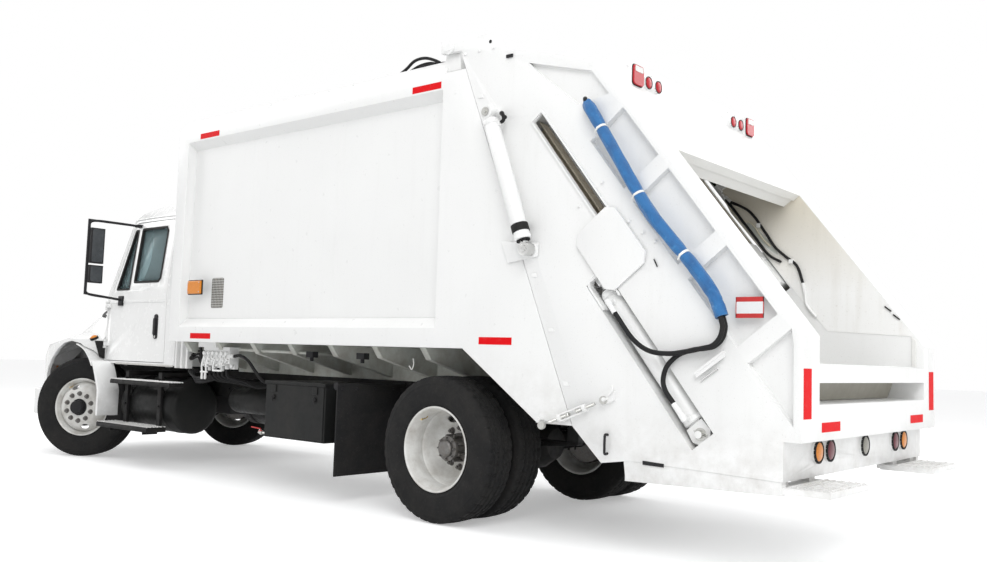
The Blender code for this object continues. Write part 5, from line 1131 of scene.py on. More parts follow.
def tail_sides():
    """Slot lips, cover, ledge, gussets, bolts, grab handle and slot sheets on the tailgate's two sides."""
    for side, label in SIDES:
        out = HALF_WIDTH + 0.0004
        white = Piece(f"tail_trim_{label}", TAIL_WHITE, "tailgate", bevel=0.002)
        # Raised lips round the trunnion slot, the upper part of it closed by a tan plate behind
        for at_out in (2.345, 2.450):
            white.block(sp(side * out, at_out, -1.665), SLOPE_DOWN * 0.90, SLOPE_NORMAL * 0.014, (side * 0.011, 0, 0))
        white.block(sp(side * out, 2.345, -1.678), SLOPE_DOWN * 0.014, SLOPE_NORMAL * 0.119, (side * 0.011, 0, 0))
        # Inverted-U cover over the packer cylinder's upper end
        arch = []
        for step in range(13):
            angle = math.pi * step / 12
            arch.append(slope_point(CYLINDER_OUT + 0.080 * math.cos(angle), -0.47 - 0.060 * math.sin(angle)))
        hood = [*arch, slope_point(CYLINDER_OUT - 0.080, -0.30), slope_point(CYLINDER_OUT - 0.066, -0.30)]
        for step in range(12, -1, -1):
            angle = math.pi * step / 12
            hood.append(slope_point(CYLINDER_OUT + 0.066 * math.cos(angle), -0.47 - 0.047 * math.sin(angle)))
        hood += [slope_point(CYLINDER_OUT + 0.066, -0.30), slope_point(CYLINDER_OUT + 0.080, -0.30)]
        white.prism("x", side * (HALF_WIDTH - 0.05), side * (HALF_WIDTH + 0.006), hood)
        # The folded ledge and the thin rods under it
        fold = [(2.072, 1.120), (2.250, 1.250), (2.240, 1.262), (2.062, 1.132)]
        white.prism("x", side * (HALF_WIDTH - 0.049), side * (HALF_WIDTH + 0.030), fold)
        white.prism("x", side * (HALF_WIDTH + 0.024), side * (HALF_WIDTH + 0.030),
                    [(2.072, 1.120), (2.250, 1.250), (2.262, 1.232), (2.084, 1.104)])
        for shift in (0.0, 0.05):
            white.rod((side * (HALF_WIDTH + 0.012), 2.10 + shift, 1.085 + shift * 0.72),
                      (side * (HALF_WIDTH + 0.012), 2.16 + shift, 1.128 + shift * 0.72), 0.006, 10)
        # Corner gussets of the side step bar and its closed front end
        white.prism("x", side * 1.162, side * 1.216,
                    [(1.587, 0.600), (1.620, 0.606), (1.620, 0.470), (1.604, 0.470)])
        for y in (1.75, 2.00, 2.25, 2.50):
            white.block((side * 1.150, y, 0.585), (side * 0.052, 0, 0), (0, 0.008, 0), (0, 0, 0.035))
        white.done()
        bolts = Piece(f"tail_bolts_{label}", TAIL_WHITE, "tailgate", smooth=30)
        for o, s in ((2.52, -0.62), (2.55, -0.50), (2.58, -0.40), (2.30, -0.95), (2.52, -0.95)):
            bolts.bolt(sp(side * out, o, s), (side, 0, 0), 0.011)
        bolts.done()
        # The first black strip, on the step bar's top edge, stands for its slot: painted shade
        dark = Piece(f"tail_dark_{label}", PLASTIC_BLACK, "tailgate", bevel=0.0015)
        dark.prism("x", side * out, side * (out + 0.003),
                   [(1.724, 0.578), (1.868, 0.575), (1.868, 0.596), (1.724, 0.602)])
        dark.prism("x", side * (HALF_WIDTH + 0.003), side * (HALF_WIDTH + 0.009),
                   [(1.776, 1.800), (1.782, 1.803), (1.806, 1.756), (1.800, 1.752)])
        dark.box(side * out, side * (out + 0.012), 0.585, 0.640, 3.246, 3.268)
        dark.done()
        grab = Piece(f"tail_grab_{label}", PLASTIC_BLACK, "tailgate", smooth=40)
        grab.tube([(side * (HALF_WIDTH - 0.004), 1.475, 0.735), (side * (HALF_WIDTH + 0.030), 1.475, 0.735),
                   (side * (HALF_WIDTH + 0.034), 1.475, 0.700), (side * (HALF_WIDTH + 0.034), 1.475, 0.655),
                   (side * (HALF_WIDTH + 0.030), 1.475, 0.622), (side * (HALF_WIDTH - 0.004), 1.475, 0.622)],
                  0.008, 60, 12)
        grab.done()
        # Tan sheet inside the trunnion slot: painted shade of the slot's inside
        tan = Piece(f"slot_back_{label}", TAN_PAINTED_SHADE, "tailgate", bevel=0.001)
        for near, wide in ((2.060, 0.292), (2.457, 0.033)):
            tan.block(sp(side * 1.0205, near, -1.70), SLOPE_DOWN * 1.33, SLOPE_NORMAL * wide, (side * 0.003, 0, 0))
        for x0, x1 in ((1.0240, 1.1080), (1.1820, 1.1945)):
            tan.block(sp(side * x0, 2.3455, -1.70), SLOPE_DOWN * 1.33, SLOPE_NORMAL * 0.0090, (side * (x1 - x0), 0, 0))
        tan.done()


THREAD_TURNS = 30


def clamps():
    """The turnbuckle that draws the tailgate's lower corner to the body, one on each side."""
    for side, label in SIDES:
        x = side * (HALF_WIDTH + 0.040)
        start, mid, end = Vector((x, 0.985, 0.757)), Vector((x, 1.235, 0.853)), Vector((x, 1.475, 0.950))
        way = (end - start).normalized()
        up = way.cross(Vector((1, 0, 0)))
        up = up if up.z > 0 else -up
        lug = Piece(f"clamp_lug_{label}", BODY_WHITE, "chassis", bevel=0.003)
        lug.prism("x", side * (HALF_WIDTH - 0.004), side * (HALF_WIDTH + 0.012),
                  [(0.930, 0.772), (1.10, 0.80), (1.10, 0.835), (0.965, 0.840)])
        lug.rod((side * (HALF_WIDTH + 0.008), 0.985, 0.800), (side * (HALF_WIDTH + 0.062), 0.985, 0.800),
                0.013, 20, 0.002)
        lug.done()
        frame_piece = Piece(f"clamp_{label}", TAIL_WHITE, "tailgate", bevel=0.002, smooth=35)
        for off in (-0.019, 0.019):
            frame_piece.rod(mid - way * 0.10 + up * off, mid + way * 0.10 + up * off, 0.0065, 12)
        for reach in (-0.10, 0.10):
            frame_piece.rod(mid + way * (reach - 0.012), mid + way * (reach + 0.012), 0.026, 20, 0.003)
        bracket = [(1.43, 0.905), (1.53, 0.945), (1.535, 1.000), (1.50, 1.010), (1.425, 0.975)]
        frame_piece.prism("x", side * (HALF_WIDTH - 0.004), side * (HALF_WIDTH + 0.030), bracket)
        frame_piece.rod((side * (HALF_WIDTH + 0.02), 1.475, 0.950), (side * (HALF_WIDTH + 0.064), 1.475, 0.950),
                        0.013, 20, 0.002)
        frame_piece.tube([(x, 1.50, 0.975), (x + side * 0.005, 1.53, 1.01), (x + side * 0.002, 1.525, 1.035)],
                         0.006, 14, 10)
        frame_piece.done()
        thread = Piece(f"clamp_thread_{label}", ZINC, "tailgate", smooth=20)
        for first, last in ((0.045, 0.18), (-0.19, -0.045)):
            begin = mid + way * first
            span_length = last - first
            profile = [(0.0, 0.0)]
            for turn in range(THREAD_TURNS):
                profile += [(0.0085, span_length * turn / THREAD_TURNS),
                            (0.0105, span_length * (turn + 0.5) / THREAD_TURNS)]
            profile += [(0.0085, span_length), (0.0, span_length)]
            thread.turned(profile, begin, way, 14)
        for radius, y, z in ((0.028, 0.998, 0.762), (0.026, 1.462, 0.945)):
            thread.turned([(0.0, -0.010), (radius - 0.002, -0.010), (radius, 0.0), (radius - 0.002, 0.010),
                           (0.0, 0.010)], (x, y, z), (side, 0, 0), 28)
        for shift in (0.028, -0.045):
            thread.bolt(mid + way * shift, way, 0.017, False)
        thread.done()


# Inside the hopper, on its walls; a fitting on a wall starts just inside it
WALL_SUNK = HOPPER_WALL - 0.0004


def hopper_dress():
    """Lip, hoses with their fittings, oval openings, a ceiling sheet of painted shade, weld beads, a slot plate of
    painted shade and wall liners with painted shade high up.
    """
    lip = Piece("hopper_lip", HOPPER_WHITE, "tailgate", bevel=0.003)
    top = sp(-HOPPER_WALL, SLOPE_OUT - 0.068, -0.905)
    lip.block(top, (2 * HOPPER_WALL, 0, 0), SLOPE_DOWN * 0.022, SLOPE_NORMAL * 0.066)
    lip.block(top - SLOPE_NORMAL * 0.085, (2 * HOPPER_WALL, 0, 0), SLOPE_DOWN * 0.008, SLOPE_NORMAL * 0.085)
    for side in (1, -1):
        near = side * (HOPPER_WALL + 0.001)
        lip.prism("x", near, near - side * 0.010,
                  [(2.610, 1.205), (2.640, 1.205), (2.640, 1.395), (2.610, 1.425)])
    lip.done()
    hoses = Piece("hopper_hoses", HOSE_RUBBER, "tailgate", smooth=40)
    ends = Piece("hopper_fittings", TAIL_WHITE, "tailgate", smooth=35)
    cream = Piece("hopper_cream_hose", CREAM_HOSE, "tailgate", smooth=40)
    for side in (1, -1):
        x = side * 0.9515
        # Each hose's route along the wall, as (y, z)
        for route in (
                [(0.879, 2.894), (0.966, 2.784), (1.071, 2.650)],
                [(1.207, 2.508), (1.373, 2.414), (1.502, 2.244), (1.586, 2.120), (1.668, 2.045), (1.765, 1.963),
                 (1.814, 1.829)],
                [(1.162, 2.534), (1.299, 2.359), (1.412, 2.215), (1.530, 2.065), (1.636, 1.999)]):
            hoses.tube([(x, y, z) for y, z in route], 0.011, 60, 12)
        cream.tube([(side * 0.958, y, z) for y, z in (
            (1.302, 2.355), (1.313, 2.345), (1.391, 2.315), (1.477, 2.197), (1.544, 2.130))], 0.007, 50, 10)
        # Columns: where a hose ends (y, z), the fitting's direction (y, z) and its length
        for y, z, way_y, way_z, length in ((1.071, 2.650, 0.68, -0.73, 0.080), (1.207, 2.508, -0.72, 0.69, 0.075),
                                           (1.162, 2.534, -0.66, 0.75, 0.060), (1.814, 1.829, 0.20, -0.98, 0.085)):
            fitting(ends, (x, y, z), (0, way_y, way_z), 0.0135, length)
        ends.tube([(x, 1.831, 1.746), (x, 1.842, 1.667), (x, 1.880, 1.612), (x, 1.919, 1.569)], 0.010, 30, 12)
        ends.prism("x", side * WALL_SUNK, side * 0.957, [
            (1.052, 2.664), (1.122, 2.617), (1.276, 2.719), (1.209, 2.775)])
        for y, z in ((1.11, 2.66), (1.22, 2.74)):
            ends.bolt((side * 0.957, y, z), (-side, 0, 0), 0.008)
        for y, z in ((1.45, 2.30), (1.72, 2.00)):
            ends.box(side * WALL_SUNK, side * 0.940, y - 0.016, y + 0.016, z - 0.016, z + 0.016)
        # Two dark stops at the wall's edge
        for y, z in ((2.420, 1.640), (2.480, 1.580)):
            hoses.block((side * WALL_SUNK, y, z), (-side * 0.012, 0, 0), (0, 0.045, -0.035), (0, 0.006, 0.006))
    hoses.done()
    ends.done()
    cream.done()
    ring = Piece("hopper_opening", TROUGH_GREY, "tailgate", smooth=40)
    plug = Piece("hopper_opening_cover", UNDER_GREY, "tailgate", smooth=40)
    for side in (1, -1):
        points = []
        for turn in [*turns(40), 2 * math.pi]:
            across, along = 0.030 * math.cos(turn), 0.190 * math.sin(turn)
            points.append(Vector((side * 0.9670, 1.471 + (across + along) * 0.707, 2.195 + (across - along) * 0.707)))
        ring.tube(points, 0.0035, smooth=False, steps=8)
        plug.prism("x", side * 0.9677, side * 0.9665, [(p.y, p.z) for p in points[:-1]])
    ring.done()
    plug.done()
    # A tan sheet under the hopper's lip: painted shade
    shade = Piece("hopper_ceiling_shade", TAN_PAINTED_SHADE, "tailgate", bevel=0.001)
    shade.block(sp(-0.962, SLOPE_OUT - 0.084, -1.25), (1.924, 0, 0), SLOPE_DOWN * 0.30, SLOPE_NORMAL * 0.006)
    shade.done()
    beads = Piece("weld_beads", TAIL_WHITE, "tailgate", smooth=60)
    for side in (1, -1):
        bead(beads, (side * HOPPER_WALL, 1.95, 0.700), (side * HOPPER_WALL, 2.600, 1.185))
    bead(beads, (-0.94, 2.645, 1.203), (0.94, 2.645, 1.203))
    beads.done()
    # A tan-grey plate closing the rear slot's back: painted shade of the slot's inside
    slot = Piece("rear_slot_plate", SLOT_PAINTED_SHADE, "tailgate", bevel=0.002)
    slot.prism("x", -0.966, 0.966, [(2.425, 0.983), (2.440, 0.983), (2.480, 1.097), (2.465, 1.097)])
    slot.done()
    # Thin wall sheets that carry the painted shade high in the hopper
    liner = Piece("hopper_shade_liners", LINER_WITH_PAINTED_SHADE, "tailgate", bevel=0.0004)
    edge = [(0.86, 3.03), (1.24, 2.965), (1.64, 2.475), slope_point(2.948, -0.885), slope_point(2.948, 0.50),
            (2.00, 1.46), (1.20, 2.42)]
    for side in (1, -1):
        liner.prism("x", side * 0.9678, side * 0.9668, edge)
    liner.done()


def bead(piece, start, end, radius=0.0042):
    """A weld bead with its ripples."""
    start = Vector(start)
    way = Vector(end) - start
    count = max(8, int(way.length / 0.006))
    rings = []
    side = way.orthogonal().normalized()
    other = way.normalized().cross(side)
    for number in range(count + 1):
        point = start + way * number / count
        size = radius * (1.0 if number % 2 else 0.82)
        rings.append(piece.ring([point + (side * math.cos(angle) + other * math.sin(angle)) * size
                                 for angle in turns(6)]))
    piece.skin(rings)


# Roof, hinges and the body's own fittings
def roof_dress():
    """Roof pipes and hoses, hinge trim, lifting eyes, and the body's weld beads and seams."""
    pipes = Piece("roof_pipes", BODY_WHITE, "chassis", smooth=40)
    for side in (1, -1):
        for x, z, first, last in ((1.060, 3.381, -3.20, -0.60), (1.020, 3.381, -2.60, -0.60)):
            pipes.tube([(side * x, first, z), (side * x, last, z)], 0.012, steps=14)
            for y in (first + 0.15, (first + last) / 2, last - 0.15):
                pipes.box(side * (x - 0.022), side * (x + 0.022), y - 0.014, y + 0.014, 3.365, 3.396)
    pipes.done()
    hose = Piece("roof_hoses", HOSE_RUBBER, "chassis", smooth=40)
    for side in (1, -1):
        hose.tube([(side * 1.060, -0.62, 3.383), (side * 1.060, -0.56, 3.410), (side * 1.065, -0.47, 3.455),
                   (side * 1.065, -0.36, 3.458), (side * 1.060, -0.25, 3.420), (side * 1.055, -0.17, 3.372)],
                  0.012, 60, 12)
        hose.tube([(side * 1.020, -0.62, 3.383), (side * 1.020, -0.55, 3.400), (side * 1.022, -0.45, 3.425),
                   (side * 1.022, -0.34, 3.425), (side * 1.020, -0.24, 3.395), (side * 1.018, -0.18, 3.372)],
                  0.012, 60, 12)
        hose.box(side * 1.085, side * 1.10, -0.39, -0.20, 3.366, 3.392)
        hose.turned([(0.0, 0.0), (0.028, 0.0), (0.028, 0.022), (0.022, 0.028), (0.0, 0.028)],
                    (side * 1.060, -0.16, 3.362), (0, 0, 1), 24)
    hose.done()
    hinge = Piece("tail_hinge_trim", TAIL_WHITE, "tailgate", bevel=0.0015, smooth=30)
    for side in (1, -1):
        place = Vector((side * (HALF_WIDTH + 0.001), 0.04, 3.42))
        hinge.turned([(0.0, 0.0), (0.046, 0.0), (0.048, 0.003), (0.048, 0.011), (0.030, 0.014), (0.030, 0.022),
                      (0.0, 0.022)], place, (side, 0, 0), 32)
        for y, z in ((0.20, 3.345), (0.33, 3.345), (0.46, 3.345)):
            hinge.bolt((side * (HALF_WIDTH + 0.0002), y, z), (side, 0, 0), 0.010)
        for y, z in ((1.128, 1.02), (1.000, 1.36), (0.850, 1.72), (0.60, 2.33), (0.46, 2.68), (0.33, 3.0)):
            hinge.block((side * (HALF_WIDTH - 0.002), y + 0.012, z), (side * 0.010, 0, 0), (0, 0.040, 0),
                        (0, -0.010, 0.026))
    hinge.done()
    eye = Piece("lifting_eye", PLASTIC_BLACK, "tailgate")
    for side in (1, -1):
        eye.turned([(0.0, 0.0), (0.013, 0.0), (0.013, 0.001), (0.0, 0.001)],
                   (side * (HALF_WIDTH + 0.0004), 0.43, 3.395), (side, 0, 0), 20)
    eye.done()
    welds = Piece("body_beads", BODY_WHITE, "chassis", smooth=60)
    for side in (1, -1):
        for y in (-3.298, -0.003):
            bead(welds, (side * 1.132, y, 1.47), (side * 1.132, y, 3.05), 0.0035)
        bead(welds, (side * 1.132, -3.29, 1.462), (side * 1.132, -0.01, 1.462), 0.0035)
        bead(welds, (side * 1.218, 0.268, 1.238), (side * 1.218, 0.93, 0.776), 0.004)
    welds.done()
    seams = Piece("body_seams", BODY_WHITE, "chassis", bevel=0.0008)
    for side in (1, -1):
        for y in (-2.35, -1.25):
            seams.box(side * 1.1295, side * 1.1312, y - 0.012, y + 0.012, 1.475, 3.045)
    seams.done()


# Cab: its side leans in above the belt, and the windshield leans back
BELT = 1.75
LEAN = 0.09 / 0.75
SCREEN_SLOPE = 0.30 / 0.80


def skin_x(z):
    """How far out the cab's side is at a height."""
    return CAB_HALF - max(0.0, z - BELT) * LEAN


def screen_y(z):
    """Where the windshield is at a height."""
    return -4.98 + (z - 1.70) * SCREEN_SLOPE


def window_rubber(piece, side, outline, width=0.022, proud=0.006, depth=0.02):
    """A rubber frame that follows a window's outline on the leaning side."""
    points = [Vector(point) for point in outline]
    area = sum(a.x * b.y - b.x * a.y for a, b in zip(points, points[1:] + points[:1]))
    turn = 1.0 if area > 0 else -1.0
    inner = []
    for here, point in enumerate(points):
        before = (point - points[here - 1]).normalized()
        after = (points[(here + 1) % len(points)] - point).normalized()
        first = Vector((-before.y, before.x)) * turn
        second = Vector((-after.y, after.x)) * turn
        middle = (first + second).normalized()
        inner.append(point + middle * (width / max(0.4, middle.dot(first))))
    piece.skin([piece.ring([(side * (skin_x(p.y) + out), p.x, p.y) for p in ring])
                for ring, out in ((points, -depth), (points, proud), (inner, proud), (inner, -depth))], "join")


def rounded(outline, radius, steps=5):
    """The outline with its corners rounded."""
    points = [Vector(point) for point in outline]
    made = []
    for here, point in enumerate(points):
        before = points[here - 1] - point
        after = points[(here + 1) % len(points)] - point
        cut = min(radius, before.length * 0.45, after.length * 0.45)
        start, end = point + before.normalized() * cut, point + after.normalized() * cut
        for step in range(steps + 1):
            t = step / steps
            made.append(tuple(start * (1 - t) ** 2 + point * 2 * t * (1 - t) + end * t ** 2))
    return made


# Outlines of the door's window and quarter window, and the sheet between the hood's wheel arch and the panel
# behind the wheel, all as (y, z)
WINDOW = [(-4.50, 1.83), (-4.03, 1.83), (-3.99, 1.87), (-3.99, 2.36), (-4.03, 2.41), (-4.50, 2.41)]
QUARTER = [(-4.82, 1.76), (-4.56, 1.76), (-4.56, 2.40), (-4.625, 2.40)]
WHEEL_LINER = [(-5.30, 1.194), (-5.21, 1.170), (-5.125, 1.136), (-5.06, 1.090), (-5.005, 1.040), (-4.972, 1.000),
               (-4.950, 0.970)]
LINER_STEPS = 24


def cab_sides():
    """Door trim, sill, drip rail, fender lamp, flap, wheel arch sheet and mirror on each side."""
    for side, label in SIDES:
        body = f"door_{label}"
        seal = Piece(f"window_rubber_{label}", SEAL_RUBBER, body, smooth=40)
        window_rubber(seal, side, rounded(WINDOW, 0.035))
        window_rubber(seal, side, rounded(QUARTER, 0.03), 0.018)
        seal.done()
        handle = Piece(f"door_handle_{label}", PLASTIC_BLACK, body, bevel=0.006, bevel_steps=3)
        x = side * (CAB_HALF + 0.0002)
        outline = rounded([(-4.040, 1.262), (-3.972, 1.262), (-3.972, 1.508), (-4.040, 1.508)], 0.03)
        handle.prism("x", x, x + side * 0.012, outline)
        inner = rounded([(-4.026, 1.30), (-3.986, 1.30), (-3.986, 1.47), (-4.026, 1.47)], 0.018)
        handle.prism("x", x + side * 0.010, x + side * 0.030, inner)
        handle.done()
        lock = Piece(f"door_lock_{label}", ZINC, body, smooth=40)
        lock.turned([(0.0, 0.0), (0.012, 0.0), (0.012, 0.003), (0.009, 0.005), (0.0, 0.005)],
                    (side * 1.0425, -4.006, 1.283), (side, 0, 0), 24)
        lock.done()
        creases = Piece(f"door_moulding_{label}", CAB_WHITE, body, bevel=0.003)
        creases.box(side * 1.0298, side * 1.0345, -4.93, -3.865, 1.628, 1.652)
        creases.done()
        trim = Piece(f"sill_{label}", ZINC, "chassis", bevel=0.002)
        trim.box(side * 1.0303, side * 1.038, -4.74, -3.66, 0.992, 1.012)
        trim.done()
        gutter = Piece(f"drip_rail_{label}", CAB_WHITE, "chassis", smooth=40)
        gutter.tube([(side * (skin_x(1.80) + 0.001), -4.905, 1.80), (side * (skin_x(2.30) + 0.001), -4.735, 2.30),
                     (side * 0.942, -4.66, 2.485), (side * 0.938, -4.50, 2.512), (side * 0.938, -3.80, 2.512),
                     (side * 0.942, -3.74, 2.49)], 0.0075, 60, 10)
        gutter.done()
        dome = Piece(f"fender_lamp_{label}", AMBER_LENS, "hood", smooth=50)
        dome.turned([(0.0, 0.024), (0.014, 0.022), (0.027, 0.016), (0.036, 0.006), (0.038, 0.0), (0.0, 0.0)],
                    (side * 1.100, -5.10, 1.262), (side * 0.5, 0, 1), 32)
        dome.done()
        base = Piece(f"fender_lamp_base_{label}", SEAL_RUBBER, "hood", smooth=50)
        base.turned([(0.0, -0.02), (0.044, -0.02), (0.044, 0.003), (0.039, 0.004), (0.0, 0.004)],
                    (side * 1.100, -5.10, 1.262), (side * 0.5, 0, 1), 32)
        base.done()
        flap = Piece(f"fender_flap_{label}", FLAP_RUBBER, "chassis", bevel=0.003)
        flap.prism("y", -4.997, -4.985, [(side * 1.00, 1.228), (side * 1.145, 1.228), (side * 1.085, 1.060),
                                         (side * 1.04, 1.045), (side * 1.00, 1.045)])
        flap.done()
        liner = Piece(f"wheel_liner_{label}", CAB_WHITE, "chassis", bevel=0.003, smooth=50)
        sheet = smooth_route([Vector((0.0, *spot)) for spot in WHEEL_LINER], LINER_STEPS)
        outer, inner = [], []
        for here, point in enumerate(sheet):
            way = (sheet[min(here + 1, LINER_STEPS - 1)] - sheet[max(here - 1, 0)]).normalized()
            outer.append((point.y, point.z))
            inner.append((point.y + way.z * 0.012, point.z - way.y * 0.012))
        centre = Vector((FRONT_AXLE_Y, AXLE_HEIGHT))
        if (Vector(inner[0]) - centre).length > (Vector(outer[0]) - centre).length:
            inner = [(2 * a[0] - b[0], 2 * a[1] - b[1]) for a, b in zip(outer, inner)]
        liner.prism("x", side * 0.965, side * 1.188, outer + inner[::-1])
        liner.done()
        mirror_dress(side, label, body)


def cab_dress():
    """Rubbers of the windshield and the rear window, wipers, roof markers and cowl intakes."""
    cab_sides()
    screen = Piece("windshield_rubber", SEAL_RUBBER, "chassis", smooth=40)
    corners = rounded([(-0.86, 1.76), (0.86, 1.76), (0.86, 2.44), (-0.86, 2.44)], 0.06)
    layers = []
    for inset, out in ((-0.006, -0.006), (-0.006, 0.007), (0.020, 0.007), (0.020, -0.006)):
        ring = []
        for x, z in corners:
            px = x - math.copysign(inset, x)
            pz = z + (inset if z < 2.1 else -inset)
            ring.append((px, screen_y(pz) - out, pz))
        layers.append(screen.ring(ring))
    screen.skin(layers, "join")
    for x0, x1, z0, z1 in ((-0.56, 0.56, 1.79, 1.812), (-0.56, 0.56, 2.238, 2.26),
                           (-0.56, -0.538, 1.79, 2.26), (0.538, 0.56, 1.79, 2.26)):
        screen.box(x0, x1, CAB_REAR_Y - 0.01, CAB_REAR_Y + 0.003, z0, z1)
    screen.done()
    wipers = Piece("wipers", PLASTIC_BLACK, "chassis", smooth=35)
    for x in (-0.45, 0.35):
        foot = Vector((x, -4.985, 1.725))
        tip = Vector((x + 0.42, screen_y(1.93) - 0.020, 1.93))
        wipers.tube([foot, foot + Vector((0.05, -0.014, 0.035)), tip], 0.006, 12, 8)
        wipers.rod(foot, foot + Vector((0, -0.022, 0.008)), 0.014, 16, 0.003)
        wipers.block(tip - Vector((0.20, -0.010, 0.13)), (0.40, 0, 0.02), (0, 0.012, 0.002), (0, -0.008, 0.014))
    wipers.done()
    marks = Piece("roof_markers", AMBER_LENS, "chassis", smooth=45)
    for x in (-0.62, -0.20, 0.0, 0.20, 0.62):
        marks.turned([(0.0, 0.032), (0.022, 0.028), (0.036, 0.014), (0.040, 0.0), (0.0, 0.0)],
                     (x, -4.565, 2.588), (0, -0.15, 1), 24)
    marks.done()
    front_lamps()
    cowl = Piece("cowl_intakes", PLASTIC_BLACK, "hood", smooth=40)
    for side in (1, -1):
        cowl.turned([(0.0, 0.0), (0.055, 0.0), (0.055, 0.004), (0.0, 0.006)],
                    (side * 0.938, -5.17, 1.525), (side * 0.75, 0, 0.62), 28)
    cowl.done()


def mirror_dress(side, label, body):
    """Housings with rounded corners over the mirror heads, their glasses dark with painted reflection, and the arm's
    feet.
    """
    x0, x1 = side * 1.300, side * 1.4445
    for number, (low, high) in enumerate(((2.01, 2.37), (1.81, 1.99))):
        shell = Piece(f"mirror_shell_{label}_{number}", PLASTIC_BLACK, body, bevel=0.010, bevel_steps=3)
        outline = rounded([(x0, low), (x1, low), (x1, high), (x0, high)], 0.035, 6)
        shell.prism("y", -4.672, -4.6165, outline)
        shell.done()
        # The glass is dark as painted reflection
        glass = Piece(f"mirror_glass_{label}_{number}", MIRROR_PAINTED_REFLECTION, body, bevel=0.002)
        face = rounded([(x0 + side * 0.012, low + 0.012), (x1 - side * 0.012, low + 0.012),
                        (x1 - side * 0.012, high - 0.012), (x0 + side * 0.012, high - 0.012)], 0.026, 6)
        glass.prism("y", -4.6155, -4.6115, face)
        glass.done()
    arms = Piece(f"mirror_arms_{label}", PLASTIC_BLACK, body, smooth=40)
    arms.tube([(side * 1.045, -4.70, 1.66), (side * 1.20, -4.690, 1.675), (side * 1.38, -4.675, 1.69),
               (side * 1.440, -4.670, 1.715), (side * 1.4455, -4.670, 1.78), (side * 1.4455, -4.670, 2.36),
               (side * 1.440, -4.666, 2.425), (side * 1.38, -4.650, 2.447), (side * 1.20, -4.605, 2.444),
               (side * 1.02, -4.562, 2.437)], 0.0125, 120, 12)
    arms.done()


def front_lamps():
    """Head lamps, turn lamps, bumper insets and the hood's rear seal."""
    for side, label in SIDES:
        place = Vector((side * 0.70, -6.290, 0.88))
        bowl = Piece(f"headlamp_ring_{label}", ZINC, "hood", smooth=40)
        bowl.turned([(0.070, 0.0), (0.089, 0.0), (0.091, 0.006), (0.086, 0.013), (0.076, 0.015), (0.070, 0.010)],
                    place, (0, -1, 0), 48)
        bowl.done()
        glass = Piece(f"headlamp_{label}", CLEAR_LENS, "hood", smooth=50)
        glass.turned([(0.0, 0.024), (0.030, 0.022), (0.055, 0.016), (0.071, 0.006), (0.074, 0.0), (0.0, 0.0)],
                     place, (0, -1, 0), 48)
        glass.done()
        turn = Piece(f"turn_lamp_{label}", AMBER_LENS, "hood", bevel=0.006, bevel_steps=3)
        turn.block((side * 0.86, -6.262, 0.83), (side * 0.085, 0.058, 0), (0, -0.012, 0), (0, 0, 0.10))
        turn.done()
    inset = Piece("bumper_inset", PLASTIC_BLACK, "chassis", bevel=0.003)
    inset.box(-0.45, 0.45, -6.3402 + 0.0006, -6.330, 0.47, 0.61)
    for x in (-0.86, 0.86):
        inset.box(x - 0.07, x + 0.07, -6.3396, -6.330, 0.50, 0.58)
    inset.done()
    cap = Piece("hood_seal", SEAL_RUBBER, "chassis", smooth=40)
    cap.tube([(-1.0, -4.990, 1.42), (-0.94, -4.990, 1.56), (-0.80, -4.990, 1.66), (0.80, -4.990, 1.66),
              (0.94, -4.990, 1.56), (1.0, -4.990, 1.42)], 0.009, 80, 8)
    cap.done()


# Chassis
def serrated(bars, teeth, x0, x1, y0, y1, z):
    """A tread's open grating: bearing bars between two edge bars, and the bright teeth worn along them."""
    bars.box(x0, x0 + 0.006, y0, y1, z - 0.004, z + 0.008)
    bars.box(x1 - 0.006, x1, y0, y1, z - 0.004, z + 0.008)
    count = int((y1 - y0) / 0.030)
    for number in range(count + 1):
        y = y0 + (y1 - y0 - 0.004) * number / count
        bars.box(x0, x1, y, y + 0.004, z - 0.004, z + 0.006)
        for tooth in range(6):
            x = x0 + 0.001 + (x1 - x0 - 0.014) * tooth / 5
            teeth.prism("y", y - 0.004, y + 0.010, [(x, z + 0.005), (x + 0.012, z + 0.005), (x + 0.009, z + 0.016),
                                                    (x + 0.003, z + 0.016)])


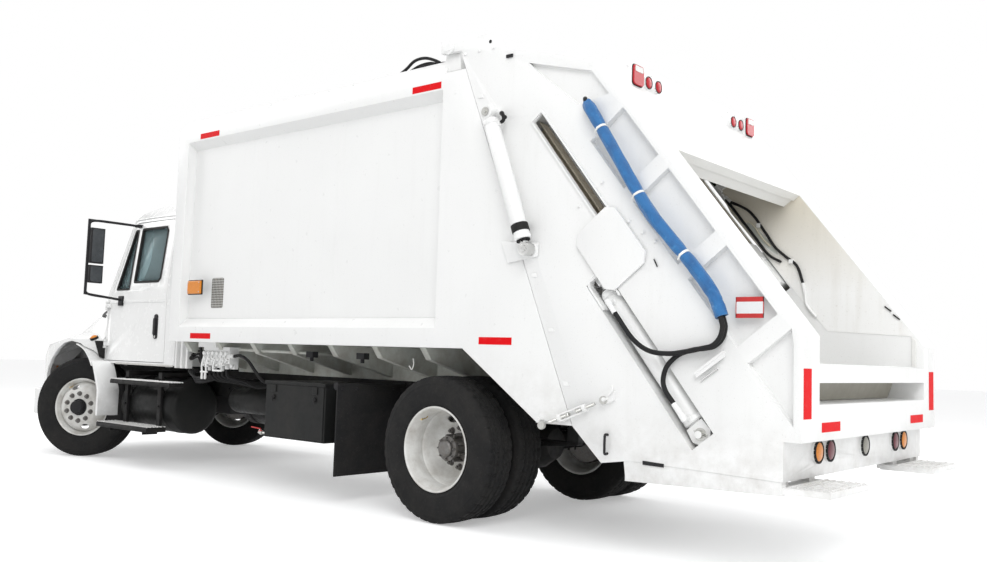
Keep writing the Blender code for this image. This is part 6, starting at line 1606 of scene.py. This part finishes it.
def steps_dress():
    """Treads of the cab's and the tailgate's steps, and the fuel tanks' rounded shells, straps and caps."""
    for side, label in SIDES:
        tread = Piece(f"treads_{label}", FRAME_BLACK, "chassis", smooth=20)
        teeth = Piece(f"tread_teeth_{label}", TREAD_METAL, "chassis", smooth=20)
        for x0, x1, y0, y1, z in ((0.992, 1.148, -4.61, -3.53, 0.836), (0.992, 1.198, -4.74, -3.80, 0.396)):
            low, high = sorted((side * x0, side * x1))
            serrated(tread, teeth, low, high, y0, y1, z)
        tread.done()
        teeth.done()
        rear = Piece(f"rear_step_{label}", TAIL_WHITE, "tailgate", smooth=20)
        low, high = sorted((side * 0.63, side * 1.19))
        for number in range(15):
            x = low + 0.01 + (high - low - 0.026) * number / 14
            rear.box(x, x + 0.005, 2.60, 2.832, 0.5352, 0.5402)
        for number in range(6):
            y = 2.61 + 0.042 * number
            rear.box(low + 0.004, high - 0.004, y, y + 0.005, 0.5352, 0.5445)
        rear.done()
        tank = Piece(f"tank_straps_{label}", FRAME_BLACK, "chassis", bevel=0.001, smooth=35)
        x = side * 0.725
        for y in (-4.50, -3.90):
            tank.turned([(0.2702, -0.022), (0.2735, -0.022), (0.2735, 0.022), (0.2702, 0.022)], (x, y, 0.60),
                        (0, 1, 0), 64)
            tank.bolt((side * 0.96, y, 0.735), (side, 0, 0.6), 0.011)
        tank.done()
        dark = Piece(f"tank_look_{label}", TANK_BLACK, "chassis", smooth=40)
        dark.turned([(0.0, -4.684), (0.120, -4.683), (0.218, -4.680), (0.250, -4.670), (0.2702, -4.640),
                     (0.2702, -3.740), (0.250, -3.708), (0.218, -3.697), (0.120, -3.6945), (0.0, -3.694)],
                    (x, 0.0, 0.60), (0, 1, 0), 72)
        dark.turned([(0.0, 0.0), (0.050, 0.0), (0.052, 0.004), (0.052, 0.026), (0.046, 0.030), (0.0, 0.032)],
                    (side * 0.80, -4.25, 0.853), (side * 0.28, 0, 1), 28)
        dark.done()
        arms = Piece(f"step_arms_{label}", FRAME_BLACK, "chassis", bevel=0.002)
        for y in (-4.50, -3.88):
            for z in (0.60, 0.86):
                arms.bolt((side * (CAB_HALF + 0.0002), y, z), (side, 0, 0), 0.011)
            for reach, z0, z1 in ((1.150, 0.800, 0.836), (1.190, 0.330, 0.36)):
                arms.box(side * 1.028, side * reach, y - 0.004, y + 0.004, z0, z1)
        arms.done()


# Lever bails stand at LEVER_X
VALVE_PITCH = 0.068
VALVE_FACE_X = 1.060
LEVER_X = 1.096


def valve_place(number):
    """Middle y and lower edge z of the valve of that number; the edges step in threes."""
    return -3.061 + number * VALVE_PITCH, 1.010 + 0.018 * (number % 3)


def valve_block():
    """The packer's control valves under the body's front corner, the lines behind the cab and the tank's drain."""
    block = Piece("valve_block", BODY_WHITE, "chassis", bevel=0.003, smooth=35)
    block.box(0.92, 1.101, -3.140, -2.860, 1.195, 1.2495)
    block.box(0.95, 1.070, -3.095, -2.690, 1.165, 1.200)
    block.box(0.96, 1.000, -3.085, -2.700, 1.000, 1.170)
    for number in range(6):
        y, low = valve_place(number)
        block.box(0.975, VALVE_FACE_X + 0.002, y - 0.027, y + 0.027, low, 1.172)
        for x, z, radius, steps, chamfer in ((LEVER_X, 1.140, 0.019, 20, 0.003), (1.084, 1.085, 0.015, 6, 0.0),
                                             (1.092, low + 0.022, 0.012, 14, 0.002)):
            block.rod((VALVE_FACE_X, y, z), (x, y, z), radius, steps, chamfer)
        block.rod((1.020, y, low + 0.004), (1.020, y, low - 0.030), 0.018, 20, 0.003)
    block.rod((1.035, -3.075, 1.060), (1.035, -3.120, 1.060), 0.022, 20, 0.003)
    block.rod((1.035, -2.712, 1.120), (1.035, -2.662, 1.120), 0.024, 20, 0.003)
    # The levers' bails, the first with two handles
    for y in (-3.070, -3.002):
        block.tube([(1.072, y, 1.140), (1.094, y - 0.008, 1.04), (LEVER_X, y, 0.965)], 0.0085, 20, 12)
    block.rod((LEVER_X, -3.090, 0.967), (LEVER_X, -2.985, 0.967), 0.009, 14, 0.002)
    for y in (-3.066, -3.014):
        block.turned([(0.0, 0.0), (0.010, 0.003), (0.0125, 0.050), (0.010, 0.064), (0.0, 0.066)],
                     (LEVER_X, y, 0.965), (0, 0, -1), 16)
    block.rod((LEVER_X, -2.90, 0.985), (LEVER_X, -2.76, 0.985), 0.009, 14, 0.002)
    for y in (-2.895, -2.765):
        block.tube([(1.080, y, 1.085), (1.094, y, 1.04), (LEVER_X, y, 0.985)], 0.007, 16, 10)
    block.done(replaces=["valve_bank"])
    lines = Piece("valve_hoses", HOSE_RUBBER, "chassis", smooth=40)
    lines.tube([(1.035, -2.665, 1.120), (1.040, -2.560, 1.125), (1.040, -2.440, 1.080), (1.030, -2.340, 0.990),
                (0.960, -2.280, 0.900), (0.700, -2.240, 0.860), (0.470, -2.230, 0.850)], 0.0145, 80, 12)
    for number in range(5):
        y, low = valve_place(number)
        lines.tube([(1.020, y, low - 0.026), (1.010, y + 0.01, 0.930), (0.94 - 0.02 * number, y + 0.06, 0.885),
                    (0.78, y + 0.16, 0.875 - 0.01 * number), (0.60, y + 0.30, 0.87), (0.465, y + 0.50, 0.86)],
                   0.0115, 60, 10)
    lines.done()
    rack = Piece("cab_rear_rack", BODY_WHITE, "chassis", bevel=0.003, smooth=35)
    for y in (-3.625, -3.530, -3.440):
        rack.box(0.985, 1.040, y, y + 0.030, 0.985, 1.2490)
    rack.box(0.980, 0.986, -3.625, -3.410, 0.985, 1.2490)
    rack.box(0.500, 0.986, -3.440, -3.428, 1.180, 1.2490)
    rack.done()
    air = Piece("cab_rear_hoses", HOSE_RUBBER, "chassis", smooth=40)
    for number in range(4):
        z = 1.085 + 0.030 * number
        air.turned([(0.0, 0.0), (0.020, 0.0), (0.020, 0.030), (0.014, 0.036), (0.014, 0.062), (0.0, 0.062)],
                   (1.000 - 0.018 * number, -3.409, z), (0.1, 1, 0.12), 16)
        air.tube([(1.004 - 0.018 * number, -3.350, z + 0.006), (1.010, -3.270 + 0.012 * number, z + 0.010),
                  (1.015, -3.215, z - 0.045), (1.000, -3.200, 0.985), (0.900, -3.230, 0.905), (0.600, -3.250, 0.870),
                  (0.468, -3.260, 0.850)], 0.010, 70, 10)
    for number in range(3):
        air.tube([(0.60, -3.62, 0.965), (0.80, -3.58, 0.975 - 0.012 * number), (0.95, -3.50 + 0.03 * number, 0.975),
                  (1.02, -3.36 + 0.03 * number, 0.935 - 0.018 * number), (1.025, -3.24, 0.905 - 0.020 * number),
                  (1.010, -3.12, 0.915 - 0.020 * number), (0.940, -3.02, 0.930 - 0.012 * number), (0.700, -2.96, 0.895),
                  (0.470, -2.94, 0.860)], 0.0115, 90, 10)
    air.done()
    tap = Piece("drain_tap", RED_PAINT, "chassis", smooth=35)
    tap.rod((1.05, -2.215, 0.480), (1.05, -2.180, 0.480), 0.014, 16, 0.003)
    tap.block((1.043, -2.330, 0.507), (0.014, 0, 0), (0, 0.125, -0.008), (0, 0, 0.009))
    tap.done()
    tap_pipe = Piece("drain_pipe", ZINC, "chassis", smooth=40)
    tap_pipe.rod((1.05, -2.225, 0.468), (1.05, -2.205, 0.500), 0.010, 14)
    tap_pipe.turned([(0.0, 0.0), (0.019, 0.0), (0.019, 0.030), (0.0, 0.030)], (1.05, -2.205, 0.472), (0, 1, 0), 6)
    tap_pipe.tube([(1.05, -2.180, 0.472), (1.05, -2.090, 0.478), (1.02, -2.040, 0.54), (0.86, -2.02, 0.66),
                   (0.62, -2.02, 0.76), (0.440, -2.02, 0.80)], 0.011, 50, 12)
    tap_pipe.done()


def underbody():
    """Air tanks, brakes, springs, shaft joints, pipes and bolts under the truck, and the tool box's trim."""
    gas = Piece("air_tanks", TANK_BLACK, "chassis", smooth=40)
    for side, y0, y1 in ((-1, -2.30, -1.50), (-1, -3.30, -2.55), (1, -3.20, -2.55)):
        gas.turned([(0.0, 0.0), (0.07, 0.004), (0.115, 0.022), (0.125, 0.055), (0.125, y1 - y0 - 0.055),
                    (0.115, y1 - y0 - 0.022), (0.07, y1 - y0 - 0.004), (0.0, y1 - y0)],
                   (side * 0.60, y0, 0.70), (0, 1, 0), 40)
        for y in (y0 + 0.15, y1 - 0.15):
            gas.box(side * 0.432, side * 0.55, y - 0.02, y + 0.02, 0.80, 0.90)
    gas.done()
    brake = Piece("brake_chambers", FRAME_BLACK, "chassis", smooth=35)
    for side in (1, -1):
        brake.turned([(0.0, 0.0), (0.050, 0.004), (0.078, 0.020), (0.082, 0.040), (0.090, 0.046), (0.090, 0.058),
                      (0.082, 0.062), (0.078, 0.120), (0.086, 0.126), (0.086, 0.138), (0.070, 0.170), (0.0, 0.176)],
                     (side * 0.52, -0.36, 0.60), (0, 1, 0), 32)
        brake.box(side * 0.49, side * 0.55, -0.19, -0.06, 0.52, 0.60)
        for y in (FRONT_AXLE_Y, 0.0):
            for dy in (-0.085, 0.085):
                for x in (0.340, 0.430):
                    brake.rod((side * x, y + dy, 0.42 if y else 0.44), (side * x, y + dy, 0.62), 0.008, 10)
                brake.box(side * 0.330, side * 0.440, y + dy - 0.012, y + dy + 0.012, 0.612, 0.628)
            for leaf in range(5):
                reach = 0.60 - leaf * 0.10
                level = (0.545 if y else 0.578) - leaf * 0.012
                brake.box(side * 0.348, side * 0.422, y - reach, y + reach, level - 0.009, level - 0.001)
    brake.done()
    shaft = Piece("shaft_joints", CAST_GREY, "chassis", smooth=35)
    for y, z in ((-0.24, 0.538), (-3.72, 0.614)):
        shaft.turned([(0.0, 0.0), (0.070, 0.0), (0.074, 0.012), (0.050, 0.020), (0.046, 0.055), (0.050, 0.090),
                      (0.074, 0.098), (0.070, 0.110), (0.0, 0.110)], (0, y, z), (0, 1, -0.02), 28)
        for x in (-0.048, 0.048):
            shaft.box(x - 0.014, x + 0.014, y + 0.020, y + 0.090, z - 0.030, z + 0.030)
    shaft.done()
    pipe = Piece("body_pipes", UNDER_GREY, "chassis", smooth=40)
    pipe.tube([(1.02, -2.60, 1.180), (1.02, -2.10, 1.175), (1.02, -1.70, 1.170), (0.90, -1.62, 1.165),
               (0.60, -1.60, 1.16)], 0.013, 60, 12)
    pipe.done()
    lumps = Piece("body_fittings", PLASTIC_BLACK, "chassis", bevel=0.004, smooth=35)
    for y in (-1.60, -0.98):
        lumps.box(1.02, 1.08, y, y + 0.085, 1.135, 1.185)
        lumps.rod((1.05, y + 0.04, 1.135), (1.05, y + 0.04, 1.105), 0.016, 16, 0.003)
    for side in (1, -1):
        lumps.rod((side * 1.175, -1.08, 0.92), (side * 1.19, -1.08, 0.92), 0.030, 20, 0.003)
        for x in (0.60, 0.80, 1.00, 1.15):
            lumps.bolt((side * x, -1.0445, 0.90), (0, 1, 0), 0.010)
            lumps.bolt((side * x, -1.0605, 0.90), (0, -1, 0), 0.010)
    lumps.done()
    wire = Piece("body_wire", TIE_WHITE, "chassis", smooth=40)
    wire.tube([(1.05, -0.38, 1.155), (1.052, -0.37, 1.115), (1.050, -0.39, 1.075), (1.04, -0.43, 1.10)], 0.005, 30, 8)
    wire.done()
    frame_bolts = Piece("frame_bolts", FRAME_BLACK, "chassis")
    for side in (1, -1):
        for number in range(24):
            y = -5.9 + number * 0.29
            for z in (0.78, 0.88):
                frame_bolts.bolt((side * 0.4302, y, z), (side, 0, 0), 0.010)
    frame_bolts.done()
    box_trim = Piece("tool_box_trim", TANK_BLACK, "chassis", bevel=0.003, smooth=35)
    box_trim.box(1.1803, 1.187, -1.965, -1.225, 0.475, 0.905)
    box_trim.box(1.150, 1.192, -1.985, -1.205, 0.905, 0.932)
    for y in (-1.86, -1.33):
        box_trim.box(1.186, 1.196, y - 0.03, y + 0.03, 0.84, 0.90)
    box_trim.done()
    latch = Piece("tool_box_latches", FRAME_BLACK, "chassis", bevel=0.002, smooth=35)
    for y in (-1.86, -1.33):
        latch.rod((1.186, y, 0.80), (1.200, y, 0.80), 0.020, 20, 0.003)
        latch.box(1.198, 1.203, y - 0.006, y + 0.006, 0.765, 0.800)
    latch.done()


# Cab inside
CUSHION_COLUMNS = 28
CUSHION_ROWS = 24


def cushion(name, x0, x1, y0, y1, z0, z1, lean=0.0, crown=0.018, nodes=()):
    """A padded block: crowned faces, rolled edges and stitched channels; it leans back with height."""
    piece = Piece(name, SEAT_VINYL, "chassis", smooth=60)
    grids = []
    for face in (1, -1):
        grid = []
        for row in range(CUSHION_ROWS + 1):
            line = []
            for col in range(CUSHION_COLUMNS + 1):
                u, v = col / CUSHION_COLUMNS, row / CUSHION_ROWS
                edge = min(u, 1 - u) * (x1 - x0)
                tall = min(v, 1 - v) * ((z1 - z0) if lean else (y1 - y0))
                roll = 1 - math.exp(-min(edge, tall) / 0.018)
                seam = 0.010 * sum(math.exp(-((u - place) / 0.018) ** 2) for place in (0.25, 0.75))
                seam += 0.008 * math.exp(-((v - 0.45) / 0.02) ** 2)
                dome = crown * (1 - (2 * u - 1) ** 2) * (1 - (2 * v - 1) ** 2)
                x = x0 + (x1 - x0) * u
                if lean:
                    depth = (y1 - y0) / 2 * (0.45 + 0.55 * roll) + (dome - seam * roll if face < 0 else 0.0)
                    z = z0 + (z1 - z0) * v
                    y = (y0 + y1) / 2 + face * depth + lean * v
                else:
                    depth = (z1 - z0) / 2 * (0.45 + 0.55 * roll) + (dome - seam * roll if face > 0 else 0.0)
                    y = y0 + (y1 - y0) * v
                    z = (z0 + z1) / 2 + face * depth
                line.append((x, y, z))
            grid.append(piece.ring(line))
        grids.append(grid)
    for grid in grids:
        for line, after in zip(grid, grid[1:]):
            for col in range(CUSHION_COLUMNS):
                piece.bm.faces.new((line[col], line[col + 1], after[col + 1], after[col]))
    rims_round = [[*grid[0][:-1], *[line[-1] for line in grid[:-1]], *grid[-1][:0:-1],
                   *[line[0] for line in grid[:0:-1]]] for grid in grids]
    for here in range(len(rims_round[0])):
        first, second = rims_round
        piece.bm.faces.new((first[here - 1], first[here], second[here], second[here - 1]))
    bmesh.ops.recalc_face_normals(piece.bm, faces=piece.bm.faces[:])
    piece.done(replaces=nodes)


def cab_inside():
    """Padded seats on their bases, dash cluster and steering wheel trim."""
    cushion("seat_driver", 0.275, 0.765, -4.300, -3.835, 1.275, 1.408, nodes=["seats"])
    cushion("seat_driver_back", 0.280, 0.760, -3.955, -3.815, 1.385, 2.045, lean=0.085)
    cushion("seat_bench", -0.795, -0.045, -4.300, -3.835, 1.275, 1.408)
    cushion("seat_bench_back", -0.790, -0.050, -3.955, -3.815, 1.385, 2.045, lean=0.085)
    base = Piece("seat_base", PLASTIC_BLACK, "chassis", bevel=0.010)
    base.box(-0.80, 0.80, -4.20, -3.80, 1.0555, 1.19)
    base.box(0.30, 0.74, -4.27, -3.86, 1.18, 1.29)
    base.box(-0.77, -0.07, -4.27, -3.86, 1.18, 1.29)
    base.done()
    dials = Piece("dash_cluster", PLASTIC_BLACK, "chassis", bevel=0.006, smooth=35)
    dials.prism("x", 0.30, 0.76, [(-4.86, 1.698), (-4.70, 1.698), (-4.655, 1.655), (-4.640, 1.60), (-4.655, 1.60),
                                  (-4.675, 1.65), (-4.71, 1.72), (-4.84, 1.745)])
    for x in (-0.60, -0.20, 0.10, 0.85):
        dials.rod((x, -4.640, 1.60), (x, -4.628, 1.595), 0.040, 28, 0.004)
    dials.done()
    rings = Piece("dash_rings", ZINC, "chassis", smooth=40)
    for x in (0.42, 0.52, 0.62):
        rings.turned([(0.030, 0.0), (0.036, 0.0), (0.036, 0.005), (0.030, 0.004)], (x, -4.648, 1.635),
                     (0, 0.8, 0.5), 28)
    rings.done()
    wheel = Piece("steering_wheel_trim", PLASTIC_BLACK, "chassis", smooth=45)
    centre, way = Vector((0.52, -4.42, 1.72)), Vector((0.0, 0.5, 0.87)).normalized()
    wheel.turned([(0.196, 0.0), (0.199, -0.012), (0.215, -0.0165), (0.231, -0.012), (0.2345, 0.0), (0.231, 0.012),
                  (0.215, 0.0165), (0.199, 0.012)], centre, way, 72)
    wheel.turned([(0.0, 0.024), (0.050, 0.020), (0.062, 0.006), (0.060, -0.014), (0.0, -0.016)], centre, way, 36)
    wheel.done()


# Camera, floor and light
IMAGE_WIDTH = 987
FOCAL_PIXELS = 958.0
SENSOR = 36.0
CAMERA_PLACE = (6.211, 4.714, 1.186)
CAMERA_YAW = math.radians(50.0)
CAMERA_PITCH = math.radians(4.54)
CAMERA_ROLL = math.radians(1.80)
FLOOR_SIZE = 120.0
FLOOR_GLOW = 0.36
WORLD_LIGHT = 0.585
# Columns: place, turned towards, size, power
LAMPS = [
    ((9.0, 9.0, 9.0), (0.0, 0.5, 1.2), 7.0, 815.0),
    ((-9.0, 7.0, 7.0), (0.0, 0.5, 1.2), 7.0, 395.0),
    ((5.0, -12.0, 8.0), (0.0, -1.0, 1.2), 8.0, 490.0),
    ((0.0, 0.0, 13.0), (0.0, 0.0, 0.0), 9.0, 490.0),
    ((1.5, 13.0, 3.2), (0.0, 3.0, 1.7), 5.0, 160.0),
]


def camera():
    """The photo's camera, fitted to it: yaw from +Y to the left, pitch up, roll about the view."""
    data = bpy.data.cameras.new("camera")
    data.sensor_width = SENSOR
    data.lens = FOCAL_PIXELS * SENSOR / IMAGE_WIDTH
    data.clip_end = 200.0
    made = bpy.data.objects.new("camera", data)
    bpy.context.collection.objects.link(made)
    ahead = Vector((-math.sin(CAMERA_YAW) * math.cos(CAMERA_PITCH), -math.cos(CAMERA_YAW) * math.cos(CAMERA_PITCH),
                    math.sin(CAMERA_PITCH)))
    right = ahead.cross(Vector((0, 0, 1))).normalized()
    up = right.cross(ahead)
    rolled_right = right * math.cos(CAMERA_ROLL) + up * math.sin(CAMERA_ROLL)
    rolled_up = up * math.cos(CAMERA_ROLL) - right * math.sin(CAMERA_ROLL)
    turn = Matrix((rolled_right, rolled_up, -ahead)).transposed()
    made.matrix_world = Matrix.Translation(Vector(CAMERA_PLACE) + Vector((0, REAR_AXLE_Y, 0))) @ turn.to_4x4()
    bpy.context.scene.camera = made


def bright_backdrop(tree, strength_socket, plain, shown):
    """Shows one strength to the camera, to reflections and through glass, and another to diffuse light."""
    path = tree.nodes.new("ShaderNodeLightPath")
    seen = path.outputs["Is Camera Ray"]
    for kind in ("Is Transmission Ray", "Is Glossy Ray"):
        larger = tree.nodes.new("ShaderNodeMath")
        larger.operation = "MAXIMUM"
        tree.links.new(seen, larger.inputs[0])
        tree.links.new(path.outputs[kind], larger.inputs[1])
        seen = larger.outputs[0]
    spread = tree.nodes.new("ShaderNodeMapRange")
    spread.inputs["To Min"].default_value = plain
    spread.inputs["To Max"].default_value = shown
    tree.links.new(seen, spread.inputs["Value"])
    tree.links.new(spread.outputs["Result"], strength_socket)


def stage():
    """Pale floor, white surroundings and soft lamps."""
    world = bpy.data.worlds.new("studio")
    bpy.context.scene.world = world
    world.use_nodes = True
    background = world.node_tree.nodes["Background"]
    background.inputs["Color"].default_value = (1.0, 1.0, 1.0, 1.0)
    bright_backdrop(world.node_tree, background.inputs["Strength"], WORLD_LIGHT, 1.0)
    bpy.ops.mesh.primitive_plane_add(size=FLOOR_SIZE, location=(0, 0, -0.002))
    floor = bpy.context.active_object
    floor.name = "floor"
    pale = Recipe("floor_pale", (0.86, 0.865, 0.87), 0.7)
    pale.bump(pale.noise(6.0), 0.0005, 0.2)
    bright_backdrop(pale.tree, pale.shader.inputs["Emission Strength"], 0.0, FLOOR_GLOW)
    pale.shader.inputs["Emission Color"].default_value = (1.0, 1.0, 1.0, 1.0)
    floor.data.materials.append(pale.done())
    for number, (place, aim, size, power) in enumerate(LAMPS):
        data = bpy.data.lights.new(f"lamp_{number}", "AREA")
        data.size = size
        data.energy = power
        lamp = bpy.data.objects.new(f"lamp_{number}", data)
        bpy.context.collection.objects.link(lamp)
        lamp.location = place
        lamp.rotation_mode = "QUATERNION"
        lamp.rotation_quaternion = (Vector(aim) - Vector(place)).to_track_quat("-Z", "Y")


for make in (camera, cords, stage, dress_nodes, tyres, rims, wheel_trim, rear_lights, strips, marker_lamps, sleeve,
             cylinder_dress, lift_dress, tail_sides, clamps, hopper_dress, roof_dress, cab_dress, steps_dress,
             valve_block, underbody, cab_inside):
    make()

bpy.context.scene.view_settings.view_transform = "Standard"
